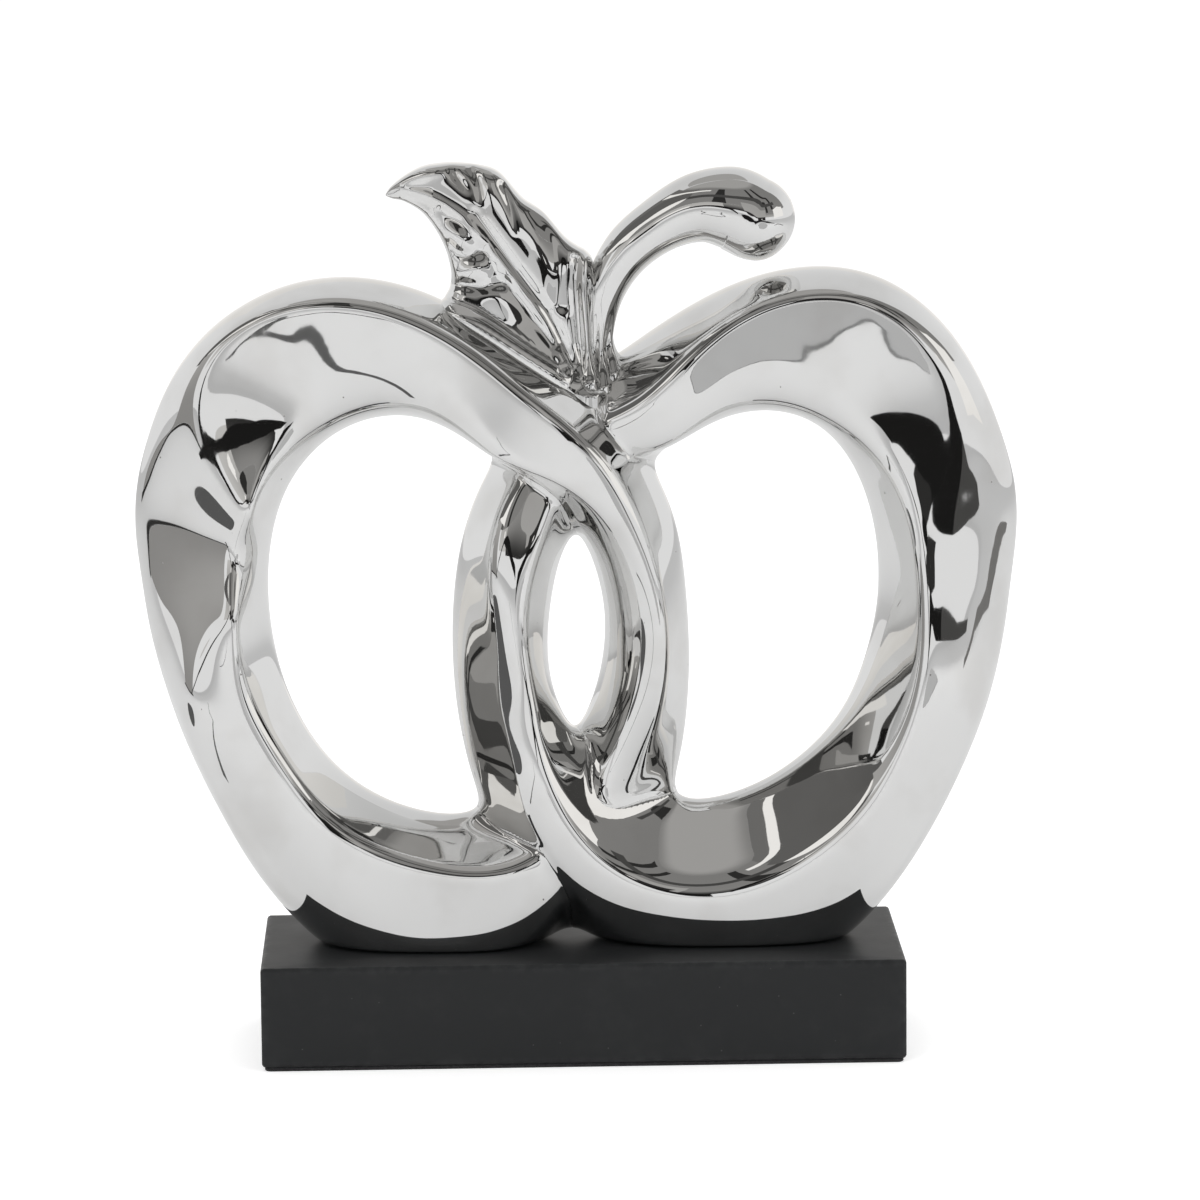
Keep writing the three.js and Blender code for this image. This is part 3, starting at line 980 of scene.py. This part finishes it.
@dataclass
class Leaf:
    """The leaf: a pointed blade with a midrib, veins and swellings, which stands on the left ring."""

    lower: Points = (
        (2, 190), (-20, 204), (-36, 216), (-43, 228), (-43.2, 236), (-43.3, 240.3), (-44.3, 246.5),
        (-46, 253.3), (-49.6, 260.8), (-54.4, 267), (-60.5, 270.8), (-64.8, 271.8), (-67.2, 272.8),
    )
    midrib: Points = (
        (3, 192), (0, 206), (-3, 216), (-6.4, 222), (-11.8, 230), (-20.9, 241), (-26.4, 249), (-30.6, 255),
        (-35, 263), (-40, 268), (-47, 272.5), (-51.2, 275), (-57.4, 276.3), (-62.5, 275.3), (-67.3, 273.2),
    )
    upper: Points = (
        (6, 196), (6.5, 212), (7, 228), (7.5, 240), (6.6, 248.8), (4.2, 252.2), (1.2, 254), (-3.5, 257.6),
        (-10.8, 266.2), (-17.5, 270.9), (-20.5, 274), (-26.6, 280.9), (-33.3, 283.4), (-41.9, 284.4),
        (-48, 284.2), (-54.2, 283.1), (-60.4, 280), (-65.4, 276.1), (-67.2, 273.6),
    )
    thickness: Points = ((0, 8.8), (0.3, 9.3), (0.5, 9.4), (0.7, 8.9), (0.85, 7.0), (0.95, 3.9), (1, 1.2))
    squareness: float = 4.0
    rows: int = 220
    columns: int = 180
    flare: float = 12.0
    calm_edge: float = 0.55
    calm_tip: float = 0.06
    least_height: float = 0.25
    relief: tuple[ReliefLine | ReliefLobe, ...] = (
        # Midrib, a raised line with grooves on both sides
        ReliefLine(
            (
                (-60, 275), (-51.2, 273), (-38.4, 264.5), (-30.3, 254.5), (-19.4, 240), (-8.6, 224),
                (-3.5, 211),
            ),
            0.9, 1.7, 0.4, 1.2,
        ),
        ReliefLine(
            ((-35, 267), (-29, 258.5), (-22, 248), (-15.5, 239), (-8.7, 229), (-2, 212)),
            -1.5, 2.0, 0.3, 1.0,
        ),
        ReliefLine(((-47, 268), (-36, 257), (-28, 246), (-18, 234), (-8, 219)), -0.6, 2.4, 0.5, 1.2),
        # Spine beside the stem, with a groove on its left
        ReliefLine(((3.8, 250), (3.3, 240), (4.2, 224), (5.2, 206)), 1.4, 1.4),
        ReliefLine(((0.4, 250), (-0.2, 240), (1, 224), (2.4, 208)), -1.4, 1.7),
        # Veins from the upper edge
        ReliefLine(((-43.5, 282), (-40, 277.5), (-36.5, 273.5)), -1.0, 2.0, 1.2, 0.1),
        ReliefLine(((-36, 282.5), (-33.6, 275.5), (-32.6, 268.5)), -1.4, 2.0, 1.2, 0.2),
        ReliefLine(((-25.5, 277), (-22.6, 268.5), (-20.9, 260.5)), -1.1, 1.4, 1.1, 0.1),
        ReliefLine(((-11.8, 266), (-7, 254), (-5.2, 245), (-6, 234)), -2.0, 3.6, 0.7, 0.5),
        # Swellings of the lower half with creases between them
        ReliefLobe(-40, 258.5, 9.5, 6.5, -40, 1.3),
        ReliefLobe(-35.5, 247, 9, 5.5, 25, 1.2),
        ReliefLobe(-27, 235.5, 15, 5.5, -40, 0.8),
        ReliefLine(((-45, 256), (-40, 252.5), (-32.5, 254)), -0.6, 2.2),
        ReliefLine(((-43, 241.5), (-33, 240.5), (-25, 242)), -0.7, 2.2),
        ReliefLine(((-44, 236.5), (-34, 232), (-21.1, 222.5), (-6.4, 212)), -0.9, 2.2),
        # Flutes that run down to the root
        ReliefLine(((-50, 229), (-35, 227), (-21.2, 217.5), (-6, 208)), 0.8, 2.2),
        ReliefLine(((-55, 226), (-43.9, 223.6), (-30.4, 217), (-15.1, 208.5), (-0.9, 202)), -0.8, 2.2),
        # Rolled rim along the upper left edge and the lower edge
        ReliefLine(((-64, 274.5), (-58, 279), (-50, 282), (-44, 282.5)), 0.7, 2.2, 0.3, 1.0),
        ReliefLine(((-61, 271.5), (-54, 267.8), (-48.5, 260.8), (-45, 253.3), (-42.7, 243)), 0.5, 1.5),
    )

    def surface(self, crossing: Crossing) -> Array:
        """The leaf's surface as a grid, root to tip by place round the section.

        Args:
            crossing: The rings that it stands on.

        Returns:
            Points between the edges and the midrib, set off to the front and the back by a flattened round
            profile, (1 - |w|^n)^(1/n), plus the relief, and flared at the root.
        """
        lines = (self.lower, self.midrib, self.upper)
        lower, midrib, upper = (path_through(line, self.rows)[:, None] for line in lines)
        u = np.linspace(0, 1, self.rows)[:, None]
        phase = np.linspace(0, TURN, self.columns, endpoint=False)[None, :]
        w = np.cos(phase)
        share = np.abs(w)[..., None]
        plan = midrib + np.where((w < 0)[..., None], lower - midrib, upper - midrib) * share
        x, z = plan[..., 0], plan[..., 1]
        half = np.interp(u, *np.asarray(self.thickness, float).T)
        profile = (1 - np.abs(w) ** self.squareness) ** (1 / self.squareness)
        relief = sum(line.height(x, z) for line in self.relief)
        calm = ease(profile / self.calm_edge) * ease((1 - u) / self.calm_tip)
        height = np.maximum(half * profile + relief * calm, self.least_height * half * profile)
        points = np.stack([x, -np.sign(np.sin(phase)) * height, z + BLOCK_TOP], axis=-1)
        points = crossing.seated(points, self.outward(points), self.flare)
        return closed(points)

    def outward(self, points: Array) -> Array:
        """Normals of the leaf's grid that point away from its middle plane."""
        normal = grid_normals(points, wrap_rows=False)
        facing = np.sign(np.sum(normal[..., 1] * points[..., 1]))
        return normal * facing


@dataclass
class Stem:
    """The curved stem, a round bar that swells to a bulb, with flutes at its root."""

    path: Points = (
        (6.5, 190, 7.5), (8, 205, 5.5), (8.5, 222, 5.2), (11.5, 239, 7.4), (19.3, 252, 9),
        (31, 261.3, 10.2), (44, 267, 12.6), (56, 267, 14.9), (64.4, 263.1, 15),
    )
    rows: int = 190
    columns: int = 96
    cap_rows: int = 40
    flutes: int = 7
    flute_depth: float = 0.7
    flute_top: float = 240.0
    flute_fade: float = 30.0
    flare: float = 8.0

    def surface(self, crossing: Crossing) -> Array:
        """The stem's surface as a grid, root to tip by angle.

        Args:
            crossing: The rings that it stands on.

        Returns:
            Circles across the path, with cosine flutes that fade upwards, a round end, and a flared root.
        """
        path = path_through(self.path, self.rows)
        centre, radius = path[:, :2], path[:, 2]
        tangent = np.gradient(centre, axis=0)
        tangent /= np.linalg.norm(tangent, axis=1, keepdims=True)
        turn = np.linspace(0, np.pi / 2, self.cap_rows)[1:]
        centre = np.vstack([centre, centre[-1] + radius[-1] * np.sin(turn)[:, None] * tangent[-1]])
        radius = np.r_[radius, radius[-1] * np.cos(turn)]
        tangent = np.vstack([tangent, np.broadcast_to(tangent[-1], (len(turn), 2))])
        angle = np.linspace(0, TURN, self.columns, endpoint=False)[None, :]
        fluted = ease((self.flute_top - centre[:, 1]) / self.flute_fade)[:, None]
        r = radius[:, None] + self.flute_depth * fluted * np.cos(self.flutes * angle)
        side = r * np.cos(angle)
        x = centre[:, :1] - tangent[:, 1:] * side
        z = centre[:, 1:] + tangent[:, :1] * side
        points = np.stack([x, -r * np.sin(angle), z + BLOCK_TOP], axis=-1)
        normal = grid_normals(points, wrap_rows=False)
        middle = np.stack([centre[:, 0], 0 * radius, centre[:, 1] + BLOCK_TOP], axis=-1)[:, None]
        normal *= np.sign(np.sum(normal * (points - middle)))
        return closed(crossing.seated(points, normal, self.flare))


# Block and felt


def rounded_slab(outline: Callable[[float], Array], ends: Range, edge: float, points: int) -> Array:
    """The surface of a slab with rounded edges as a grid, height by place along its outline.

    Args:
        outline: Gives the slab's outline in plan, set in by a distance.
        ends: Heights of its underside and its top.
        edge: Radius of its edges.
        points: Points across an edge.

    Returns:
        Outlines set in by edge (1 - sin t) and moved in from an end by edge (1 - cos t), with t from 0 to a
        quarter turn, and both ends shut.
    """
    turn = np.linspace(0, np.pi / 2, points)
    insets = list(zip(edge * (1 - np.sin(turn)), edge * (1 - np.cos(turn))))
    rows = []
    for end, way in zip(ends, (1, -1)):
        for inset, inward in insets[::way]:
            rim = outline(inset)
            rows.append(np.c_[rim, np.full(len(rim), end + way * inward)])
    return closed(np.stack(rows))


@dataclass
class Block:
    """The block: a box with rounded edges."""

    width: float = 232.0
    depth: float = 90.0
    bottom: float = 1.5
    top: float = BLOCK_TOP
    edge: float = 1.5
    corner_points: int = 12
    edge_points: int = 10
    side_points: int = 40

    def outline(self, inset: float) -> Array:
        """The block's outline in plan, set in from its sides.

        Args:
            inset: How far it is set in.

        Returns:
            Points along the long and short sides and round the corners.
        """
        radius = self.edge - inset
        x, y = self.width / 2 - self.edge, self.depth / 2 - self.edge
        turn = np.linspace(0, np.pi / 2, self.corner_points)
        arc = radius * np.stack([np.cos(turn), np.sin(turn)], axis=-1)
        along = np.linspace(1, -1, self.side_points)[1:-1]
        top = np.stack([along * x, np.full_like(along, y + radius)], axis=-1)
        left = np.stack([np.full_like(along, -x - radius), along * y], axis=-1)
        half = np.vstack([arc + [x, y], top, arc[::-1] * [-1, 1] + [-x, y], left])
        return np.vstack([half, -half])

    def surface(self) -> Array:
        """The block's surface as a grid."""
        return rounded_slab(self.outline, (self.bottom, self.top), self.edge, self.edge_points)


@dataclass
class FeltPad:
    """The felt glued under the block, a thin sheet with softened edges."""

    width: float = 230.0
    depth: float = 88.0
    thickness: float = 1.5
    corner: float = 2.0
    edge: float = 0.6
    edge_points: int = 6

    def outline(self, inset: float) -> Array:
        """The pad's outline in plan, set in from its sides."""
        return Block(self.width - 2 * inset, self.depth - 2 * inset, edge=self.corner).outline(0)

    def surface(self) -> Array:
        """The pad's surface as a grid."""
        return rounded_slab(self.outline, (0, self.thickness), self.edge, self.edge_points)


# Studio


@dataclass(frozen=True)
class Card:
    """A card of the studio that only mirror finishes show: part of a dome, by direction in degrees.

    Azimuth 0 is in front of the object and 90 is on its right. The elevations of the lower and the upper
    edge are given at even steps from left to right.
    """

    name: str
    azimuth: Range
    lower: Guide
    upper: Guide
    shade: Range
    distance: float = 3000.0
    tint: Place = (1.0, 0.98, 0.95)
    steps: int = 49
    eye_height: float = 160.0

    def surface(self) -> Array:
        """The card's face as a grid: points of a sphere about the object, over both angles."""
        along = np.linspace(0, 1, self.steps)
        turn = np.radians(self.azimuth[0] + np.diff(self.azimuth) * along)[None, :]
        sides = (self.lower, self.upper)
        edges = [np.interp(along, np.linspace(0, 1, len(side)), side) for side in sides]
        rise = np.radians(np.linspace(*edges, self.steps))
        level = np.cos(rise)
        way = np.broadcast_arrays(np.sin(turn) * level, -np.cos(turn) * level, np.sin(rise))
        return np.stack(way, axis=-1) * self.distance + [0, 0, self.eye_height]

    def material(self) -> bpy.types.Material:
        """An even glow that changes from the card's lower edge to its upper one."""
        made = bpy.data.materials.new(self.name)
        nodes = Nodes(made)
        height = nodes.add("ShaderNodeSeparateXYZ", inputs={0: nodes.place()}, out=2)
        edges = min(self.lower), max(self.upper)
        ends = [(self.distance * np.sin(np.radians(edge)) + self.eye_height) * MM for edge in edges]
        low, high = (rgb(*(shade * part for part in self.tint)) for shade in self.shade)
        nodes.glow(nodes.mix(height.between(*ends), low, high))
        return made


@dataclass(frozen=True)
class FloorSheet:
    """A grey sheet on the floor with a darker band round it, a painted shadow along its edge; only mirror
    finishes show them.
    """

    name: str
    outline: tuple[Range, ...]
    shade: float
    # Shade and width of the painted shadow along the sheet's edge.
    seam_shade: float
    seam: float
    lift: float = 0.5
    points: int = 160

    def surfaces(self) -> tuple[Array, Array]:
        """The sheet and its painted edge shadow as grids: fans from the middle to a smooth outline and a
        wider one.
        """
        turn = np.linspace(0, TURN, self.points, endpoint=False)
        x, y = (PeriodicCurve(values).at(turn) for values in np.asarray(self.outline, float).T)
        edge = np.stack([x, y, np.full_like(x, 2 * self.lift)], axis=-1)
        along = np.roll(edge, -1, axis=0) - np.roll(edge, 1, axis=0)
        way = np.cross(along, [0, 0, 1]) / np.linalg.norm(along, axis=1, keepdims=True)
        middle = np.broadcast_to(edge.mean(axis=0), edge.shape)
        way *= np.sign(np.sum(way * (edge - middle)))
        wider = edge + self.seam * way - [0, 0, self.lift]
        return np.stack([middle, edge]), np.stack([middle - [0, 0, self.lift], wider])


@dataclass(frozen=True)
class FloorStripe:
    """A dark stripe on the floor, a painted shadow, which only mirror finishes show."""

    name: str
    path: Points
    width: float = 14.0
    lift: float = 1.5
    shade: float = 0.12
    points: int = 120

    def surface(self) -> Array:
        """The stripe as a grid: a smooth path, moved by half the width to both sides."""
        path = path_through(self.path, self.points)
        along = np.gradient(path, axis=0)
        across = np.stack([-along[:, 1], along[:, 0]], axis=-1)
        across *= self.width / 2 / np.linalg.norm(across, axis=1, keepdims=True)
        edges = np.stack([path - across, path + across])
        return np.concatenate([edges, np.full((*edges.shape[:2], 1), self.lift)], axis=-1)


@dataclass(frozen=True)
class Lamp:
    """A square lamp: its place and the length of its sides in millimetres, and its power in watts."""

    name: str
    place: Place
    power: float
    size: float = 1200.0


@dataclass
class Studio:
    """Pale floor, soft light, cards for the chrome to mirror, and the camera at the photograph's view."""

    floor_rings: Guide = (0, 300, 3000, 30000)
    floor_points: int = 96
    sensor_width: float = 36.0
    clip: Range = (0.05, 100.0)
    focal_length: float = 182.1
    camera_distance: float = 2200.0
    camera_azimuth: float = -1.32
    camera_elevation: float = 9.67
    camera_roll: float = -0.55
    target: Place = (8.1, 0.0, 162.9)
    daylight: float = 0.75
    lift: float = 0.45
    mirrored_sky: Range = (0.86, 0.70)
    sky_fade: Range = (0.2, 0.95)
    pale: Colour = rgb(0.8, 0.8, 0.8)
    dim: Colour = rgb(0.72, 0.72, 0.72)
    fall_off: Range = (2200.0, 7000.0)
    lamps: tuple[Lamp, ...] = (
        Lamp("key_lamp", (-900, -1300, 1500), 9),
        Lamp("fill_lamp", (1200, -900, 1100), 6),
        Lamp("back_lamp", (200, 1400, 1500), 6),
    )
    cards: tuple[Card, ...] = (
        # Ceiling with beams and a rail, backdrop and walls
        Card("ceiling", (-40, 100), (20,), (60,), (0.25, 0.23), 3600),
        Card("ceiling_left", (-95, -40), (20,), (60,), (0.11, 0.17), 3600),
        Card("beam_left", (-20, -12), (20,), (58,), (0.03, 0.03), 3550),
        Card("beam_middle", (36, 42), (20,), (58,), (0.03, 0.03), 3550),
        Card("beam_right", (54, 61), (26,), (58,), (0.03, 0.03), 3550),
        Card("rail", (-40, 70), (35,), (42,), (0.07, 0.07), 3540),
        Card("ceiling_top", (-75, 100), (60,), (114,), (0.26, 0.40), 3600),
        Card("backdrop", (150, 210), (-2,), (32,), (1.0, 0.84), 3600),
        Card("wall_middle", (-15, 25), (7,), (20,), (0.03, 0.28), 3500),
        Card("wall_pale", (-48, -15), (8.5,), (20,), (0.60, 0.50), 3500),
        Card("wall_right", (25, 60), (9,), (20,), (0.45, 0.25), 3500),
        Card("wall_left", (-86, -57), (-3,), (24,), (0.30, 0.42), 2600),
        Card("seam_left", (-88, -55), (-4,), (-3,), (0.03, 0.03), 2500),
        # Black cloth behind the camera, over the far edge of the floor
        Card(
            "cloth_left", (-64, 2), (-4.4, -1.8, 0.6, 3.6, 5.6, 8.2, 11, 12.8, 10.8, 10.2, 7, 2),
            (-3.6, -0.9, 1.6, 4.8, 7, 9.8, 12.6, 15.2, 16.2, 15.6, 13, 6), (0.012, 0.012), 1100,
        ),
        Card(
            "cloth_right", (6, 42), (-4.3, -0.4, 2, 3.4, 2.9, 1.6, 0, -0.6),
            (3.5, 6, 7.6, 7, 5.6, 4.6, 4.2, 3.5), (0.012, 0.012), 1100,
        ),
        Card("cloth_middle", (14, 34), (6.5,), (14.5,), (0.03, 0.03), 1110),
        Card("cloth_end", (42, 60), (-0.6, -1.5, -2), (3.5, 0.5, -1.1), (0.07, 0.07), 1100),
        Card("table_edge", (60, 90), (-7, -4, -5, -6.5), (-5.5, -2.6, -3.6, -5.5), (0.2, 0.2), 1100),
        # Softboxes with a hood and a bright strip, a pale panel and lamps
        Card("hood_left", (-80, -36), (25, 28, 35, 39), (48, 52, 53, 48), (0.13, 0.13), 3050),
        Card("strip_left", (-88, -26), (52,), (55,), (1.0, 1.0), 3040),
        Card("softbox_left", (-80, -36), (19, 23, 24, 22), (25, 28, 35, 39), (1.0, 1.0)),
        Card("softbox_right", (58, 90), (5, 7, 7), (25, 29, 24), (1.0, 1.0)),
        Card("panel", (11, 34), (10,), (28,), (0.42, 0.40)),
        Card("lamp_left", (-26, -21.5), (15.5,), (19,), (1.0, 1.0), 1090),
        Card("lamp_right", (45.5, 48), (10.5,), (12.5,), (1.0, 1.0), 1090),
        Card("flash", (23, 25.5), (9,), (11,), (1.0, 1.0), 1090),
    )
    sheets: tuple[FloorSheet, ...] = (
        # Each sheet: outline, shade, and the shade and width of the painted shadow along its edge.
        FloorSheet("sheet_right", (
            (723, -2047), (480, -1690), (333, -1332), (289, -1022), (271, -890), (272, -720),
            (400, -620), (640, -800), (950, -1300), (1050, -2200),
        ), 0.52, 0.2, 4.0),
        FloorSheet("sheet_side", (
            (-440, -40), (-500, -170), (-640, -270), (-790, -290), (-850, -200), (-830, -80), (-700, -20),
            (-550, 0),
        ), 0.11, 0.05, 6.0),
    )
    stripes: tuple[FloorStripe, ...] = (
        # The shadow along the edge of the paper under the object, painted as a dark stripe.
        FloorStripe("paper_edge", (
            (-215, -150), (-240, -400), (-252, -740), (-262, -880), (-371, -1106), (-505, -1551),
            (-640, -1900),
        )),
    )

    def shown(self, nodes: Nodes) -> Value:
        """1 on rays that are seen directly, mirrored or through glass, and 0 on rays that light surfaces."""
        kinds = ("Is Camera Ray", "Is Glossy Ray", "Is Transmission Ray")
        first, second, third = (nodes.add("ShaderNodeLightPath", out=kind) for kind in kinds)
        return first.math("MAXIMUM", second).math("MAXIMUM", third)

    def make_world(self) -> None:
        """White for rays that are seen and a plain level of light for the rest."""
        world = bpy.data.worlds.new("studio")
        bpy.context.scene.world = world
        nodes = Nodes(world)
        shown = self.shown(nodes)
        mirrored = nodes.add("ShaderNodeLightPath", out="Is Glossy Ray")
        way = nodes.add("ShaderNodeTexCoord", out="Generated")
        overhead = nodes.add("ShaderNodeSeparateXYZ", inputs={0: way}, out=2)
        low, high = self.mirrored_sky
        dimming = (1 - low) + (low - high) * overhead.between(*self.sky_fade)
        strength = shown + (1 - shown) * self.daylight - dimming * mirrored
        sky = nodes.add("ShaderNodeBackground", inputs={"Color": WHITE, "Strength": strength})
        nodes.surface(sky, "World")

    def make_floor(self) -> None:
        """A wide pale floor that keeps the object's shadow and is white where it is lit."""
        turn = np.linspace(0, TURN, self.floor_points, endpoint=False)
        ring = np.stack([np.cos(turn), np.sin(turn), 0 * turn], axis=-1)
        points = np.asarray(self.floor_rings, float)[:, None, None] * ring
        floor = stage_object("floor", points, wrap_columns=True)
        material = bpy.data.materials.new("floor")
        nodes = Nodes(material)
        seen = nodes.add("ShaderNodeLightPath", out="Is Camera Ray")
        mirrored = nodes.add("ShaderNodeLightPath", out="Is Glossy Ray")
        front = nodes.add("ShaderNodeSeparateXYZ", inputs={0: nodes.place()}, out=1)
        far = front.between(*(-reach * MM for reach in self.fall_off))
        shade = nodes.mix(mirrored * far, self.pale, self.dim)
        lit = nodes.add("ShaderNodeBsdfDiffuse", inputs={"Color": shade})
        glow = nodes.add("ShaderNodeEmission", inputs={"Color": WHITE, "Strength": self.lift * seen})
        nodes.surface(nodes.add("ShaderNodeAddShader", inputs={0: lit, 1: glow}))
        floor.data.materials.append(material)

    def hang(self, name: str, points: Array, material: bpy.types.Material, closed_up: bool = False) -> None:
        """Adds a surface that no camera, shadow or matt surface sees.

        Args:
            name: Its name.
            points: Rows of points in millimetres, rows x columns x 3.
            material: Its material.
            closed_up: Whether the last column joins the first.
        """
        made = stage_object(name, points, closed_up)
        made.data.materials.append(material)
        made.visible_camera = made.visible_diffuse = made.visible_shadow = False

    def make_cards(self) -> None:
        """The cards, sheets and stripes for the chrome to mirror."""
        for card in self.cards:
            self.hang(card.name, card.surface(), card.material())
        for sheet in self.sheets:
            # Each sheet lies over a wider, darker one, whose rim shows as a painted shadow along its edge.
            names = sheet.name, f"{sheet.name}_seam"
            for name, points, shade in zip(names, sheet.surfaces(), (sheet.shade, sheet.seam_shade)):
                self.hang(name, points, grey_glow(name, shade), closed_up=True)
        for stripe in self.stripes:
            self.hang(stripe.name, stripe.surface(), grey_glow(stripe.name, stripe.shade))

    def make_lamp(self, lamp: Lamp) -> None:
        """Adds a lamp that faces the object and that mirrors don't show."""
        light = bpy.data.lights.new(lamp.name, "AREA")
        light.energy, light.size = lamp.power, lamp.size * MM
        made = bpy.data.objects.new(lamp.name, light)
        made.visible_glossy = False
        back = np.asarray(lamp.place, float) - self.target
        back /= np.linalg.norm(back)
        right = np.cross([0, 0, 1], back)
        right /= np.linalg.norm(right)
        made.matrix_world = placed(right, np.cross(back, right), back, lamp.place)
        bpy.context.scene.collection.objects.link(made)

    def make_camera(self) -> None:
        """The camera, turned about the target by azimuth, elevation and roll."""
        a, e, r = np.radians([self.camera_azimuth, self.camera_elevation, self.camera_roll])
        back = np.array([np.sin(a) * np.cos(e), -np.cos(a) * np.cos(e), np.sin(e)])
        right = np.array([np.cos(a), np.sin(a), 0])
        up = np.cross(back, right)
        camera = bpy.data.cameras.new("camera")
        camera.lens, camera.sensor_width = self.focal_length, self.sensor_width
        camera.clip_start, camera.clip_end = self.clip
        made = bpy.data.objects.new("camera", camera)
        level = right * np.cos(r) + up * np.sin(r), up * np.cos(r) - right * np.sin(r)
        made.matrix_world = placed(*level, back, np.asarray(self.target) + back * self.camera_distance)
        bpy.context.scene.collection.objects.link(made)
        bpy.context.scene.camera = made

    def build(self) -> None:
        """Makes the whole studio."""
        bpy.context.scene.view_settings.view_transform = "Standard"
        self.make_camera()
        self.make_world()
        self.make_floor()
        self.make_cards()
        for lamp in self.lamps:
            self.make_lamp(lamp)


def grey_glow(name: str, shade: float) -> bpy.types.Material:
    """A material with an even grey glow."""
    made = bpy.data.materials.new(name)
    Nodes(made).glow(rgb(shade, shade, shade))
    return made


def placed(right: Array, up: Array, back: Array, place: Array) -> Matrix:
    """A matrix from three axes and a place in millimetres."""
    rows = np.column_stack([right, up, back, np.asarray(place) * MM])
    return Matrix([*rows.tolist(), [0, 0, 0, 1]])


def stage_object(name: str, points: Array, wrap_columns: bool = False) -> bpy.types.Object:
    """An open sheet of the studio, which isn't part of the object.

    Args:
        name: Name of the object.
        points: Rows of points in millimetres, rows x columns x 3.
        wrap_columns: Whether the last column joins the first.

    Returns:
        The new object.
    """
    rows, columns = points.shape[:2]
    faces = grid_faces(rows, columns, wrap_rows=False).reshape(rows - 1, columns, 4)
    kept = faces if wrap_columns else faces[:, :-1]
    mesh = bpy.data.meshes.new(name)
    mesh.from_pydata((points.reshape(-1, 3) * MM).tolist(), [], kept.reshape(-1, 4).tolist())
    made = bpy.data.objects.new(name, mesh)
    bpy.context.scene.collection.objects.link(made)
    return made


# The ornament


@dataclass
class Ornament:
    """All pieces of the object, with their finishes."""

    left: Ring = field(default_factory=lambda: Ring("left_ring", -1, LEFT_GUIDES, RIGHT_GUIDES))
    right: Ring = field(default_factory=lambda: Ring("right_ring", 1, RIGHT_GUIDES, LEFT_GUIDES))
    leaf: Leaf = field(default_factory=Leaf)
    stem: Stem = field(default_factory=Stem)
    block: Block = field(default_factory=Block)
    felt: FeltPad = field(default_factory=FeltPad)

    @cached_property
    def materials(self) -> dict[Slot, bpy.types.Material]:
        """One material for each slot."""
        finishes = (ChromeGlaze(), BlackLacquer(), BlackFelt(), Plaster(), ZincSteel())
        return {finish.slot: finish.material() for finish in finishes}

    def add(self, node: str, points: Array, slot: Slot, wrap_rows: bool = False) -> bpy.types.Object:
        """Adds a piece that stands for a CAD node.

        Args:
            node: The node's name.
            points: The piece's surface as a grid.
            slot: Its material slot.
            wrap_rows: Whether the grid's last row joins the first.

        Returns:
            The piece, dressed and riding on the body.
        """
        piece = mesh_object(f"{node}_finish", points, wrap_rows)
        piece.data.materials.append(self.materials[slot])
        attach(piece, BODY)
        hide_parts(node)
        log.info("%s: %d faces", piece.name, len(piece.data.polygons))
        return piece

    def dress_hidden(self) -> None:
        """Gives the fastening inside the feet and the block its finishes."""
        steel = {node: Slot.STEEL for node in ("stud", "washer", "nut")}
        for node, slot in {"anchor_plug": Slot.PLASTER, **steel}.items():
            for side in ("left", "right"):
                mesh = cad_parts[f"{node}_{side}"].data
                mesh.materials.clear()
                mesh.materials.append(self.materials[slot])

    def build(self) -> None:
        """Builds and dresses every piece."""
        crossing = Crossing(self.left, self.right)
        for node, points in crossing.surfaces().items():
            self.add(node, points, Slot.CHROME, wrap_rows=True)
        self.add("leaf", self.leaf.surface(crossing), Slot.CHROME)
        self.add("stem", self.stem.surface(crossing), Slot.CHROME)
        self.add("base_block", self.block.surface(), Slot.LACQUER)
        pad = self.add("felt_pad", self.felt.surface(), Slot.FELT)
        flat = (self.felt.width * MM, self.felt.depth * MM)
        self.dress_hidden()


def main() -> None:
    """Builds the studio and the ornament, and logs the number of faces of each piece."""
    logging.basicConfig(level=logging.INFO, format="%(message)s")
    Studio().build()
    Ornament().build()


if __name__ == "__main__":
    main()
